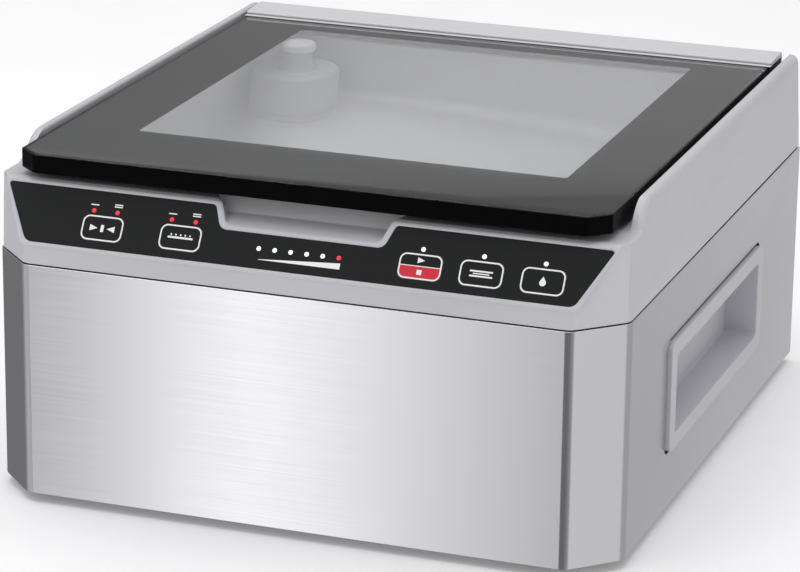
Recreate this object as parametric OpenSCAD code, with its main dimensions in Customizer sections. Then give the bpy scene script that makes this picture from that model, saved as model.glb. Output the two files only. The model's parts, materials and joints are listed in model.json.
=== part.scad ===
// Tabletop chamber vacuum sealer. Origin: centre of the footprint, on the surface it stands on.
// X runs to the right, Y runs to the rear, Z runs up. All sizes are in millimetres.

/* [Shell] */
// Width across the steel shell
body_w = 400; // [398:1:404]
// Depth of the steel shell, front to rear
body_d = 433; // [431:1:437]
// Height of the steel shell
shell_h = 146.5; // [144:0.5:146.5]
// Height of the rubber feet
foot_h = 6; // [6:0.5:7]
// Leg of the chamfered front corners
corner = 28; // [24:1:30]
// Outer radius of the sheet bends
bend_r = 9; // [5:0.5:9]
// Thickness of the stainless sheet
sheet_t = 1.2; // [0.8:0.1:1.4]

/* [Top casing] */
// Height of the seam between the shell and the casing
seam = 0.8; // [0.4:0.1:1.2]
// Wall of the moulded casing
wall = 3; // [2.5:0.1:3.2]
// Level of the deck under the lid
deck_z = 200; // [199.5:0.1:200]
// Top of the two side cheeks
cheek_z = 217.5; // [216:0.5:220]
// Lean of the control bezel from the vertical
lean = 32; // [31:0.5:33]

/* [Lid] */
// Half width of the glass
glass_hw = 186.2; // [182:0.2:187]
// Front edge of the glass
glass_front = -197; // [-199:0.5:-195]
// Rear edge of the glass
glass_rear = 174; // [172:0.5:175]
// Thickness of the glass
glass_t = 5; // [4:0.5:5]
// Top face of the glass
glass_z = 216.3; // [216:0.1:217]
// Underside of the lid frame
lid_z = 204.5; // [204.3:0.1:204.8]

/* [Chamber] */
// Half width inside the chamber
tub_hw = 160; // [156:1:160]
// Floor of the chamber
tub_floor = 149; // [149:0.5:152]
// Half length of the sealing bar
bar_hl = 148; // [140:1:148]

/* [Controls] */
// Width of a key
key_w = 26.5; // [24:0.5:28]
// Height of a key
key_h = 15.6; // [12:0.2:16]

/* [Side grips] */
// Length of the grip frame
grip_l = 218; // [210:1:222]
// Height of the grip frame
grip_h = 70; // [66:1:74]
// Depth of the grip pocket below the shell face
grip_depth = 19.5; // [15:0.5:20]

/* [Hidden] */
$fn = 48;

eps = 0.01;
half_w = body_w / 2;
half_d = body_d / 2;
shell_z0 = foot_h;
shell_z1 = foot_h + shell_h;
casing_z0 = shell_z1 + seam;
casing_inset = 0.8;
casing_front = -half_d + casing_inset;
casing_rear = half_d - casing_inset;
side_draft = 2.2;
corner_draft = 2.6;
bay_hw = 190.6;
trough_y0 = 182;
trough_y1 = casing_rear - wall;
trough_z = 190;
panel_y = half_d - 2;
base_t = 1.5;
base_top = shell_z0 + base_t;

// Bezel plane: its upper edge, and the slope length covered by the membrane
bezel_y = -193.7;
bezel_z = 196.8;
bezel_len = 35.8;
membrane_t = 0.5;
membrane_pocket = 0.6;
// Finger recess under the front edge of the lid, half widths at its mouth and at its floor
notch_x = 1;
notch_top = 56.9;
notch_low = 51.4;
notch_depth = 14.6;
notch_lip = 3.2;
recess_back = -179;
recess_crease = [-186, 191];
recess_slope = 0.285;

// Keys and lamps: distance down the bezel slope, and places across it
key_s = 22.9;
key_x = [-124.5, -74, 76.7, 114, 151.3];
led_s = 12.3;
led_off = 7.65;
dot_s = 23.5;
dot_pitch = 10.06;
dot_mid = 1.35;

// Chamber tub
tub_t = 2;
tub_front = -165;
tub_rear = 163;
tub_r = 14;
rim_w = 9;
rim_t = 1.5;
port = [-128.5, 127.5];
port_r = 29;
neck_r = 10;
bore_r = 5;
port_shoulder = 183;
neck_top = 201;
cap_top = 209;

// Sealing bar
bar_y = -147;
bar_w = 18;
bar_z0 = 172;
bar_top = 192.7;
lift_x = 110;
piston_r = 5;
run_fit = 0.05;

// Hinge
hinge_y = 200;
hinge_z = 204;
hinge_x = 120;
pin_r = 3;
knuckle_r = 6;
knuckle_hl = 9;
frame_open_hw = 150;
frame_open_front = -134;
frame_open_rear = 160;
frame_back = 205;
cover_hw = 187;
cover_front = 178.7;
cover_back = 206.9;
cover_z = 219.8;
cover_seat = 216;

// Side grips
grip_y = 4.4;
grip_z = 78.5;
grip_proud = 3;
grip_band_y = 11;
grip_band_z = 10;
grip_gap = 1.5;
tray_t = 2;

// Pump, fan and rear fittings
motor = [-75, 62];
motor_r = 38;
shaft_r = 4;
fan_x = 80;
fan_z = 74;
fan_size = 80;
inlet_x = -120;
inlet_z = 40;
switch_x = -60;
switch_z = 40;
switch_tilt = 9;

// ---------- geometry helpers ----------

function unit(v) = v / norm(v);

// Arc that rounds the corner p1 between p0 and p2
function fillet(p0, p1, p2, r, n) =
    let (
        a = unit(p0 - p1),
        b = unit(p2 - p1),
        half = acos(a * b) / 2,
        c = p1 + unit(a + b) * r / sin(half),
        s = p1 + a * r / tan(half) - c,
        e = p1 + b * r / tan(half) - c,
        a0 = atan2(s.y, s.x),
        turn = (atan2(e.y, e.x) - a0 + 540) % 360 - 180
    )
    [for (i = [0 : n]) c + r * [cos(a0 + turn * i / n), sin(a0 + turn * i / n)]];

// Polygon whose corners are given as [x, y, radius]
function rounded(pts, n = 6) =
    let (k = len(pts), xy = [for (p = pts) [p.x, p.y]])
    [for (i = [0 : k - 1])
        each (pts[i].z <= 0
            ? [xy[i]]
            : fillet(xy[(i + k - 1) % k], xy[i], xy[(i + 1) % k], pts[i].z, n))];

// Rectangle from low to high corner with rounded corners
function round_rect(x0, y0, x1, y1, r) =
    rounded([[x0, y0, r], [x1, y0, r], [x1, y1, r], [x0, y1, r]]);

// Plan outline of the shell, moved in by inset, ending at y = rear
function plan(inset, rear) =
    let (
        w = half_w - inset,
        f = -half_d + inset,
        leg = corner - inset * 0.586,
        r = max(bend_r - inset, 1)
    )
    rounded([
        [-w, rear, 0], [-w, f + leg, r], [-w + leg, f, r],
        [w - leg, f, r], [w, f + leg, r], [w, rear, 0]
    ]);

module slab(z0, z1, pts) {
    translate([0, 0, z0])
        linear_extrude(z1 - z0)
            polygon(pts);
}

// Y-Z outline extruded along X
module prism_x(x0, x1, pts) {
    translate([x0, 0, 0])
        rotate([90, 0, 90])
            linear_extrude(x1 - x0)
                polygon(pts);
}

// X-Z outline extruded along Y
module prism_y(y0, y1, pts) {
    translate([0, y1, 0])
        rotate([90, 0, 0])
            linear_extrude(y1 - y0)
                polygon(pts);
}

module box(x0, y0, z0, x1, y1, z1) {
    translate([x0, y0, z0])
        cube([x1 - x0, y1 - y0, z1 - z0]);
}

module rod_x(x0, x1, y, z, r) {
    translate([x0, y, z])
        rotate([0, 90, 0])
            cylinder(h = x1 - x0, r = r);
}

module rod_y(y0, y1, x, z, r) {
    translate([x, y1, z])
        rotate([90, 0, 0])
            cylinder(h = y1 - y0, r = r);
}

module rod_z(z0, z1, x, y, r) {
    translate([x, y, z0])
        cylinder(h = z1 - z0, r = r);
}

// Places children on the bezel: x across, s down the slope, w out of the face
module on_bezel(x, s, w) {
    translate([0, bezel_y, bezel_z])
        rotate([90 - lean, 0, 0])
            translate([x, -s, w])
                children();
}

module both_sides() {
    children();
    mirror([1, 0, 0])
        children();
}

module at_corners(x, y_front, y_rear) {
    for (sx = [-1, 1], y = [y_front, y_rear])
        translate([sx * x, y, 0])
            children();
}

// ---------- shell ----------

module grip_outline(grow, x0, x1) {
    prism_x(x0, x1, round_rect(
        grip_y - grip_l / 2 - grow, grip_z - grip_h / 2 - grow,
        grip_y + grip_l / 2 + grow, grip_z + grip_h / 2 + grow, 6 + grow));
}

module steel_wrap() {
    flange_y = panel_y - sheet_t;
    color("silver")
        difference() {
            union() {
                difference() {
                    slab(shell_z0, shell_z1, plan(0, half_d));
                    slab(shell_z0 - 1, shell_z1 + 1, plan(sheet_t, half_d + 1));
                }
                both_sides()
                    box(half_w - 18, flange_y - sheet_t, base_top + 2, half_w - sheet_t / 2, flange_y, shell_z1 - 2);
            }
            back_screw_holes();
            grip_outline(grip_gap, half_w - 8, half_w + 8);
            mirror([1, 0, 0])
                grip_outline(grip_gap, half_w - 8, half_w + 8);
        }
}

module back_panel() {
    hw = half_w - sheet_t - 0.2;
    color("silver")
        difference() {
            prism_y(panel_y - sheet_t, panel_y,
                [[-hw, base_top + 0.2], [hw, base_top + 0.2], [hw, shell_z1], [-hw, shell_z1]]);
            rod_y(panel_y - 5, panel_y + 5, fan_x, fan_z, fan_size / 2 - 4);
            box(inlet_x - 14, panel_y - 5, inlet_z - 10, inlet_x + 14, panel_y + 5, inlet_z + 10);
            box(switch_x - 10, panel_y - 5, switch_z - 13.5, switch_x + 10, panel_y + 5, switch_z + 13.5);
            for (i = [0 : 7], j = [0 : 1])
                translate([-150 + i * 14, panel_y, 88 + j * 26])
                    cube([3, 8, 20], center = true);
            back_screw_holes();
        }
}

module back_screw_places() {
    for (sx = [-1, 1], z = [30, 80, 130])
        translate([sx * 190, panel_y, z])
            rotate([90, 0, 0])
                children();
}

module back_screw_holes() {
    back_screw_places()
        cylinder(h = 10, r = 1.8, center = true);
}

module back_screws() {
    color("silver")
        back_screw_places()
            difference() {
                union() {
                    translate([0, 0, -1.8])
                        cylinder(h = 1.8, r1 = 3, r2 = 3.6);
                    cylinder(h = 8, r = 1.7);
                }
                translate([0, 0, -2])
                    cylinder(h = 1.2, r = 1.4, $fn = 6);
            }
}

module base_plate() {
    color("dimgray")
        difference() {
            slab(shell_z0, base_top, plan(sheet_t + 0.2, half_d - 0.5));
            at_corners(150, -185, 185)
                translate([0, 0, shell_z0 - 1])
                    cylinder(h = 4, r = 2.2);
            for (i = [0 : 9], j = [-1, 1])
                translate([-63 + i * 14, j * 150 + 10, shell_z0])
                    cube([4, 40, 8], center = true);
        }
}

module rubber_feet() {
    color([0.08, 0.08, 0.08])
        at_corners(150, -185, 185)
            difference() {
                rotate_extrude()
                    polygon([[2.1, 2.4], [6, 2.4], [6, 0], [11, 0], [12.5, 1.2], [13, foot_h], [2.1, foot_h]]);
                translate([0, 0, -1])
                    cylinder(h = 3.4, r = 6);
            }
}

module foot_screws() {
    color("gray")
        at_corners(150, -185, 185)
            difference() {
                union() {
                    translate([0, 0, 0.6])
                        cylinder(h = 1.8, r = 4);
                    translate([0, 0, 2.4])
                        cylinder(h = 7, r = 2);
                }
                translate([0, 0, 0])
                    cylinder(h = 1.4, r = 1.6, $fn = 6);
            }
}

module support_posts() {
    color("gainsboro")
        both_sides() {
            rod_z(base_top, deck_z - wall, 176, -176, 5);
            rod_z(base_top, deck_z - wall, 184, 172, 5);
        }
}

// ---------- top casing ----------

// Side outline: front band, bezel, ridge, shelf, curved step, cheek and rear wall
function casing_side() =
    let (
        low_s = bezel_len + 2,
        y_low = bezel_y - low_s * sin(lean),
        z_low = bezel_z - low_s * cos(lean),
        y_ridge = bezel_y + (deck_z - bezel_z) * tan(lean)
    )
    rounded([
        [casing_front, casing_z0, 0], [y_low, z_low, 2], [y_ridge, deck_z, 3],
        [-164.5, deck_z, 5], [-153.5, cheek_z, 26], [casing_rear, cheek_z, 5], [casing_rear, casing_z0, 0]
    ]);

// The hollow under the deck, one wall inside the side outline
function casing_hollow() =
    let (
        y_in = bezel_y + wall * cos(lean),
        z_in = bezel_z - wall * sin(lean),
        low_z = casing_z0 + 11
    )
    [
        [casing_front + wall, casing_z0 - 8], [y_in - (z_in - low_z) * tan(lean), low_z],
        [y_in + (deck_z - wall - z_in) * tan(lean), deck_z - wall], [trough_y0 - wall, deck_z - wall],
        [trough_y0 - wall, trough_z - wall], [trough_y1, trough_z - wall], [trough_y1, casing_z0 - 8]
    ];

// Height of the recess floor, which slopes down to the front
function recess_z(y) = recess_crease.y + (y - recess_crease.x) * recess_slope;

// Finger recess: mouth on the bezel and shelf, back wall falling to a sloped floor
function recess_side() =
    rounded([
        [bezel_y - 30, recess_z(bezel_y - 30), 0], [recess_crease.x, recess_crease.y, 2.5],
        [recess_back, deck_z + eps, 0], [recess_back, deck_z + 20, 0], [bezel_y - 30, deck_z + 20, 0]
    ]);

module notch_prism(inset, w0, w1) {
    on_bezel(notch_x, 0, w0)
        linear_extrude(w1 - w0)
            polygon(rounded([
                [-notch_top + inset - 8, 12.8, 0], [-notch_top + inset, 0, 3],
                [-notch_low + inset, -notch_depth + inset, 6],
                [notch_low - inset, -notch_depth + inset, 6],
                [notch_top - inset, 0, 3], [notch_top - inset + 8, 12.8, 0]
            ]));
}

module finger_recess() {
    intersection() {
        prism_x(-70, 72, recess_side());
        notch_prism(notch_lip, -25, 20);
    }
}

function membrane_outline(grow) =
    let (
        top = 190.9 + grow,
        low = 172 + grow,
        n_top = notch_top - grow,
        n_low = notch_low - grow,
        n_s = notch_depth - grow
    )
    rounded([
        [-top, grow, 1.5], [-low, -bezel_len - grow, 6], [low, -bezel_len - grow, 6], [top, grow, 1.5],
        [notch_x + n_top, grow, 3], [notch_x + n_low, -n_s, 6],
        [notch_x - n_low, -n_s, 6], [notch_x - n_top, grow, 3]
    ]);

module key_prism(i, grow, w0, w1) {
    on_bezel(key_x[i], key_s, w0)
        linear_extrude(w1 - w0)
            polygon(round_rect(-key_w / 2 - grow, -key_h / 2 - grow, key_w / 2 + grow, key_h / 2 + grow, 4.5));
}

module light_places(red) {
    if (red) {
        for (i = [0, 1], side = [-1, 1])
            on_bezel(key_x[i] + side * led_off, led_s, 0)
                children();
        on_bezel(dot_mid + 2.5 * dot_pitch, dot_s, 0)
            children();
    } else {
        for (i = [2 : 4])
            on_bezel(key_x[i], led_s, 0)
                children();
        for (i = [0 : 4])
            on_bezel(dot_mid + (i - 2.5) * dot_pitch, dot_s, 0)
                children();
    }
}

module light_holes(r) {
    for (red = [true, false])
        light_places(red)
            translate([0, 0, -6])
                cylinder(h = 12, r = r);
}

// Wedge that leans a face inward by lean_in at the top, its outer side away from the face at x = 0
module draft_wedge(length, lean_in) {
    rotate([90, 0, 0])
        linear_extrude(length, center = true)
            polygon([[0, casing_z0], [10, casing_z0 - 1], [10, cheek_z + 10], [-lean_in, cheek_z]]);
}

// Draft of the two sides and of the chamfered front corners
module casing_draft() {
    for (sx = [-1, 1])
        scale([sx, 1, 1]) {
            translate([half_w - casing_inset, 0, 0])
                draft_wedge(2 * body_d, side_draft);
            translate([half_w - corner / 2 - casing_inset * 0.707, -half_d + corner / 2 + casing_inset * 0.707, 0])
                rotate([0, 0, -45])
                    draft_wedge(80, corner_draft);
        }
}

module top_casing() {
    color([0.76, 0.76, 0.79])
        difference() {
            intersection() {
                slab(casing_z0, cheek_z + 5, plan(casing_inset, casing_rear));
                prism_x(-half_w, half_w, casing_side());
            }
            difference() {
                intersection() {
                    slab(casing_z0 - 8, deck_z, plan(casing_inset + wall, trough_y1));
                    prism_x(-half_w, half_w, casing_hollow());
                }
                prism_x(-62, 64, [
                    [bezel_y - 10.5, recess_z(bezel_y - 10.5) - wall], [recess_crease.x, recess_crease.y - wall],
                    [recess_back + wall, recess_crease.y - wall], [recess_back + wall, deck_z + 1],
                    [bezel_y - 10.5, deck_z + 1]
                ]);
            }
            casing_draft();
            box(-bay_hw, -190, deck_z, bay_hw, casing_rear + 5, cheek_z + 10);
            box(-180, trough_y0, trough_z, 180, trough_y1, deck_z + 5);
            slab(100, deck_z + 5, round_rect(-tub_hw - 2.4, tub_front - 2.4, tub_hw + 2.4, tub_rear + 2.4, tub_r + 2.4));
            finger_recess();
            on_bezel(0, 0, -membrane_pocket)
                linear_extrude(5)
                    polygon(membrane_outline(0.15));
            for (i = [0 : 4])
                key_prism(i, 0.5, -8, 5);
            light_holes(1.5);
        }
}

// ---------- chamber ----------

module vacuum_chamber() {
    color("lightgray")
        difference() {
            union() {
                slab(tub_floor - tub_t, deck_z, round_rect(
                    -tub_hw - tub_t, tub_front - tub_t, tub_hw + tub_t, tub_rear + tub_t, tub_r + tub_t));
                slab(deck_z, deck_z + rim_t, round_rect(
                    -tub_hw - rim_w, tub_front - rim_w, tub_hw + rim_w, tub_rear + rim_w, tub_r + rim_w));
            }
            slab(tub_floor, deck_z + 5, round_rect(-tub_hw, tub_front, tub_hw, tub_rear, tub_r));
            rod_z(tub_floor - 5, tub_floor + 5, port.x, port.y, 8);
            for (sx = [-1, 1])
                rod_z(tub_floor - 5, tub_floor + 5, sx * lift_x, bar_y, piston_r + 1);
        }
}

module filter_housing() {
    color("gainsboro")
        translate([port.x, port.y, 0])
            rotate_extrude()
                polygon([
                    [bore_r, 128], [6.4, 128], [6.4, 144], [7.9, 144], [7.9, tub_floor], [port_r, tub_floor],
                    [port_r, port_shoulder - 4], [port_r - 1.2, port_shoulder - 1.2], [port_r - 4, port_shoulder],
                    [bore_r, port_shoulder]
                ]);
}

module suction_neck() {
    color("gainsboro")
        translate([port.x, port.y, 0])
            rotate_extrude()
                polygon([
                    [bore_r, port_shoulder], [13, port_shoulder], [neck_r, port_shoulder + 3],
                    [neck_r, neck_top], [bore_r, neck_top]
                ]);
}

module suction_cap() {
    color("white")
        translate([port.x, port.y, 0])
            difference() {
                rotate_extrude()
                    polygon([
                        [0, neck_top], [11.5, neck_top], [12, neck_top + 1.5], [12, cap_top - 2.5],
                        [11, cap_top - 0.8], [9, cap_top], [0, cap_top]
                    ]);
                translate([0, 0, neck_top - 1])
                    cylinder(h = 3, r = bore_r);
                for (a = [0 : 60 : 120])
                    rotate([0, 0, a])
                        translate([0, 0, neck_top + 1])
                            cube([30, 2.4, 2], center = true);
            }
}

module seal_bar() {
    color("silver")
        difference() {
            box(-bar_hl, bar_y - bar_w / 2, bar_z0, bar_hl, bar_y + bar_w / 2, bar_top);
            for (sy = [-1, 1])
                box(-bar_hl - 1, bar_y + sy * (bar_w / 2) - 1.5, bar_z0 + 6, bar_hl + 1,
                    bar_y + sy * (bar_w / 2) + 1.5, bar_z0 + 9);
            for (sx = [-1, 1])
                rod_z(bar_z0 - 1, bar_z0 + 6, sx * lift_x, bar_y, piston_r);
        }
}

module heating_wires() {
    color("peru")
        for (dy = [-3, 3])
            box(-bar_hl, bar_y + dy - 1.2, bar_top, bar_hl, bar_y + dy + 1.2, bar_top + 0.3);
}

module ptfe_strip() {
    color("burlywood")
        box(-bar_hl + 4, bar_y - bar_w / 2 + 0.5, bar_top + 0.32, bar_hl - 4,
            bar_y + bar_w / 2 - 0.5, bar_top + 0.6);
}

module lift_pistons() {
    color("gray")
        for (sx = [-1, 1])
            rod_z(118, bar_z0 + 6, sx * lift_x, bar_y, piston_r);
}

module lift_cylinders() {
    color("dimgray")
        for (sx = [-1, 1])
            translate([sx * lift_x, bar_y, 0])
                rotate_extrude()
                    polygon([
                        [0, 104], [3, 104], [3, 110], [11, 110], [11, tub_floor - tub_t],
                        [piston_r + run_fit, tub_floor - tub_t], [piston_r + run_fit, 114], [0, 114]
                    ]);
}

module bar_guides() {
    color("gray")
        both_sides()
            difference() {
                box(bar_hl - 6, bar_y - 12, tub_floor, tub_hw - 4.5, bar_y + 12, 190);
                box(bar_hl - 7, bar_y - bar_w / 2 - 0.5, tub_floor + 6, bar_hl + 0.5, bar_y + bar_w / 2 + 0.5, 195);
            }
}

// ---------- lid ----------

function lid_plan(inset, rear) =
    let (w = glass_hw - inset, f = glass_front + inset)
    rounded([
        [-w, rear, 0], [-w, f + 11, 4], [-w + 12.8, f, 4],
        [w - 12.8, f, 4], [w, f + 11, 4], [w, rear, 0]
    ]);

module lid_glass() {
    color([0.75, 0.8, 0.82, 0.35]) {
        slab(glass_z - glass_t, glass_z - 1, lid_plan(0, glass_rear));
        slab(glass_z - 1, glass_z, lid_plan(0.8, glass_rear - 0.8));
    }
}

module border_print() {
    color([0.05, 0.05, 0.05])
        difference() {
            slab(glass_z - glass_t - 0.25, glass_z - glass_t - 0.01, lid_plan(1, glass_rear - 1));
            slab(glass_z - glass_t - 2, glass_z, round_rect(-137, -122, 138.5, 155, 2));
        }
}

module gasket_ring(z0, z1, extra) {
    difference() {
        slab(z0, z1, round_rect(
            -tub_hw - 7 - extra, tub_front - 7 - extra, tub_hw + 7 + extra, tub_rear + 7 + extra, tub_r + 7));
        slab(z0 - 1, z1 + 1, round_rect(
            -tub_hw - 2 + extra, tub_front - 2 + extra, tub_hw + 2 - extra, tub_rear + 2 - extra, tub_r + 2));
    }
}

module lid_frame() {
    top = glass_z - glass_t - 0.3;
    color([0.05, 0.05, 0.05])
        difference() {
            union() {
                slab(lid_z, top, lid_plan(0.4, glass_rear));
                box(-glass_hw + 0.4, glass_rear - 1, lid_z, glass_hw - 0.4, 182, top);
                box(-cover_hw + 0.5, glass_rear + 0.6, top - 3, cover_hw - 0.5, frame_back, cover_seat - 0.1);
            }
            slab(lid_z - 1, glass_z + 5, round_rect(
                -frame_open_hw, frame_open_front, frame_open_hw, frame_open_rear, 8));
            gasket_ring(lid_z - 1, lid_z + 2.6, 0.1);
            box(-bar_hl - 4, bar_y - 8, lid_z - 1, bar_hl + 4, bar_y + 8, lid_z + 1);
            rod_z(lid_z + 0.8, top + 1, 178, -150, 4);
            for (sx = [-1, 1])
                box(sx * hinge_x - 18, 188, lid_z - 1, sx * hinge_x + 40, frame_back + 1, 212);
        }
}

module lid_gasket() {
    color([0.1, 0.1, 0.1])
        gasket_ring(deck_z + rim_t + 0.3, lid_z + 2.5, 0);
}

module seal_strip() {
    color("firebrick")
        box(-bar_hl - 3, bar_y - 7.8, lid_z - 2.6, bar_hl + 3, bar_y + 7.8, lid_z + 0.9);
}

module lid_magnet() {
    color("silver")
        rod_z(lid_z + 0.9, lid_z + 5.5, 178, -150, 3.9);
}

module reed_sensor() {
    color("black")
        box(172, -158, deck_z - wall - 7, 184, -142, deck_z - wall - 0.1);
}

module hinge_cover() {
    color([0.82, 0.82, 0.83])
        prism_x(-cover_hw, cover_hw, rounded([
            [glass_rear + 0.9, cover_seat, 0], [glass_rear + 0.9, cover_seat + 0.5, 0.3],
            [cover_front + 1.2, cover_seat + 0.5, 0], [cover_front + 1.2, cover_seat + 1, 0],
            [cover_front, cover_seat + 1, 0], [cover_front, 218.5, 1], [cover_back, cover_z, 2.4],
            [cover_back, 210, 0], [frame_back + 0.3, 210, 0], [frame_back + 0.3, cover_seat, 0]
        ]));
}

module hinge_arms() {
    color("dimgray")
        for (sx = [-1, 1])
            translate([sx * hinge_x, 0, 0])
                difference() {
                    union() {
                        rod_x(-knuckle_hl, knuckle_hl, hinge_y, hinge_z, knuckle_r);
                        box(-knuckle_hl, 188.3, hinge_z + 1, knuckle_hl, hinge_y, hinge_z + knuckle_r - 0.5);
                        box(-knuckle_hl, 188.3, hinge_z + 3, knuckle_hl, 193, 212);
                    }
                    rod_x(-20, 20, hinge_y, hinge_z, pin_r + run_fit);
                }
}

module hinge_pins() {
    color("silver")
        for (sx = [-1, 1])
            rod_x(sx * hinge_x - 15, sx * hinge_x + 34, hinge_y, hinge_z, pin_r);
}

module hinge_brackets() {
    color("gray")
        for (sx = [-1, 1])
            translate([sx * hinge_x, 0, 0])
                difference() {
                    union() {
                        box(-15, hinge_y - 10, trough_z, 38, hinge_y + 10, trough_z + 2);
                        for (x = [-14, 10, 33])
                            prism_x(x, x + 4, rounded([
                                [hinge_y - 9, trough_z + 1, 0], [hinge_y + 9, trough_z + 1, 0],
                                [hinge_y + 6.3, hinge_z + 6, 5], [hinge_y - 6.3, hinge_z + 6, 5]
                            ]));
                    }
                    rod_x(-20, 45, hinge_y, hinge_z, pin_r);
                }
}

module lid_springs() {
    color("darkgray")
        for (sx = [-1, 1])
            translate([sx * hinge_x, hinge_y, hinge_z]) {
                for (i = [0 : 6])
                    translate([16.5 + i * 2.2, 0, 0])
                        rotate([0, 90, 0])
                            rotate_extrude()
                                translate([4.4, 0])
                                    circle(r = 1.1, $fn = 16);
                translate([16.5, -4.4, trough_z + 2.1 - hinge_z])
                    cylinder(h = hinge_z - trough_z - 2.1, r = 1);
            }
}

// ---------- controls ----------

module control_membrane() {
    color([0.16, 0.17, 0.17])
        difference() {
            on_bezel(0, 0, -membrane_pocket)
                linear_extrude(membrane_t)
                    polygon(membrane_outline(0));
            for (i = [0 : 4])
                key_prism(i, 0.25, -3, 5);
            light_holes(1.35);
        }
}

module key(i, c) {
    back = -wall - 0.3;
    color(c) {
        key_prism(i, 0, back, 0.15);
        on_bezel(key_x[i], key_s, back - 0.8)
            linear_extrude(0.8)
                polygon(round_rect(-key_w / 2 - 1.5, -key_h / 2 - 1.5, key_w / 2 + 1.5, key_h / 2 + 1.5, 5));
        on_bezel(key_x[i], key_s, back - 1.2)
            cylinder(h = 0.8, r = 2);
    }
}

module key_vacuum() {
    key(0, [0.16, 0.17, 0.17]);
}

module key_sealing() {
    key(1, [0.16, 0.17, 0.17]);
}

module key_auto_cancel() {
    key(2, [0.8, 0.1, 0.15]);
}

module key_seal() {
    key(3, [0.16, 0.17, 0.17]);
}

module key_marinate() {
    key(4, [0.16, 0.17, 0.17]);
}

module lens() {
    translate([0, 0, -7.6])
        cylinder(h = 7.6, r = 1.2);
}

module red_lenses() {
    color("red")
        light_places(true)
            lens();
}

module white_lenses() {
    color("white")
        light_places(false)
            lens();
}

module control_board() {
    color("darkgreen")
        on_bezel(0, 0, -9.6)
            linear_extrude(1.6)
                polygon([
                    [-160, -9], [-66, -9], [-66, -17], [66, -17], [66, -9],
                    [164, -9], [164, -33], [-160, -33]
                ]);
}

module tact_switches() {
    color([0.2, 0.2, 0.2])
        for (x = key_x)
            on_bezel(x, key_s, 0) {
                translate([-3, -3, -8])
                    cube([6, 6, 1.9]);
                translate([0, 0, -6.1])
                    cylinder(h = 0.5, r = 1.7);
            }
}

// ---------- side grips ----------

module grip() {
    in_y0 = grip_y - grip_l / 2 + grip_band_y;
    in_y1 = grip_y + grip_l / 2 - grip_band_y;
    in_z0 = grip_z - grip_h / 2 + grip_band_z;
    in_z1 = grip_z + grip_h / 2 - grip_band_z;
    back = half_w - grip_depth;
    difference() {
        union() {
            grip_outline(0, half_w - 6, half_w + grip_proud);
            prism_x(back - tray_t, half_w, round_rect(
                in_y0 - tray_t, in_z0 - tray_t, in_y1 + tray_t, in_z1 + tray_t, 4));
        }
        prism_x(back, half_w + 10, round_rect(in_y0, in_z0, in_y1, in_z1, 3));
    }
}

module grip_right() {
    color([0.74, 0.74, 0.76])
        grip();
}

module grip_left() {
    color([0.74, 0.74, 0.76])
        mirror([1, 0, 0])
            grip();
}

module grip_gaskets() {
    color([0.05, 0.05, 0.05])
        both_sides()
            difference() {
                grip_outline(5, half_w - 4.5, half_w - sheet_t - 0.1);
                grip_outline(0.1, half_w - 10, half_w + 10);
            }
}

// ---------- pump ----------

module pump_bracket() {
    color("gray")
        difference() {
            union() {
                box(-138, -50, 14, -12, 122, 16);
                for (y = [-30, 40])
                    difference() {
                        box(motor.x - 26, y, 15, motor.x + 26, y + 10, 34);
                        rod_y(y - 1, y + 11, motor.x, motor.y, motor_r + 0.1);
                    }
            }
            for (x = [-130, -20], y = [-42, 112])
                rod_z(10, 20, x, y, 3);
        }
}

module pump_mounts() {
    color([0.1, 0.1, 0.1])
        for (x = [-130, -20], y = [-42, 112])
            translate([x, y, 0])
                rotate_extrude()
                    polygon([[0, base_top], [8, base_top], [6.5, 10.8], [8, 14], [2.9, 14], [2.9, 16], [5, 16], [5, 18], [0, 18]]);
}

module pump_motor() {
    color("darkslategray")
        difference() {
            union() {
                rod_y(-34, 54, motor.x, motor.y, motor_r);
                rod_y(-38, 58, motor.x, motor.y, motor_r - 8);
                for (a = [20 : 20 : 160])
                    translate([motor.x, 10, motor.y])
                        rotate([0, -a, 0])
                            translate([motor_r, 0, 0])
                                cube([5, 56, 1.6], center = true);
            }
            rod_y(-40, 20, motor.x, motor.y, shaft_r + run_fit);
        }
}

module pump_crankcase() {
    color("gray")
        difference() {
            prism_y(58, 116, round_rect(motor.x - 35, 24, motor.x + 35, 100, 8));
            rod_y(100, 120, motor.x, motor.y, 20);
        }
}

module pump_heads() {
    color("lightgray")
        for (sx = [-1, 1])
            translate([motor.x, 88, motor.y])
                rotate([0, sx * 90, 0])
                    difference() {
                        union() {
                            translate([0, 0, 35])
                                cylinder(h = 9, r = 25);
                            translate([0, 0, 44])
                                cylinder(h = 12, r = 22);
                            translate([0, 0, 50])
                                rotate([90, 0, 0])
                                    cylinder(h = 30, r = 4);
                            translate([0, 0, 50])
                                rotate([-90, 0, 0])
                                    cylinder(h = 30, r = 4);
                        }
                        for (a = [45 : 90 : 315])
                            rotate([0, 0, a])
                                translate([18, 0, 52])
                                    cylinder(h = 6, r = 2.4);
                    }
}

module pump_fan_wheel() {
    color("black") {
        rod_y(-56, 16, motor.x, motor.y, shaft_r);
        rod_y(-54, -44, motor.x, motor.y, 9);
        for (a = [0 : 45 : 315])
            translate([motor.x, -49, motor.y])
                rotate([0, a, 0])
                    translate([18, 0, 0])
                        rotate([25, 0, 0])
                            cube([24, 8, 1.4], center = true);
    }
}

// ---------- electrics ----------

module transformer_core() {
    color("dimgray")
        difference() {
            box(62, 70, base_top, 138, 126, 72);
            for (dx = [-20, 20])
                box(100 + dx - 9, 60, 20, 100 + dx + 9, 140, 60);
        }
}

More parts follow.
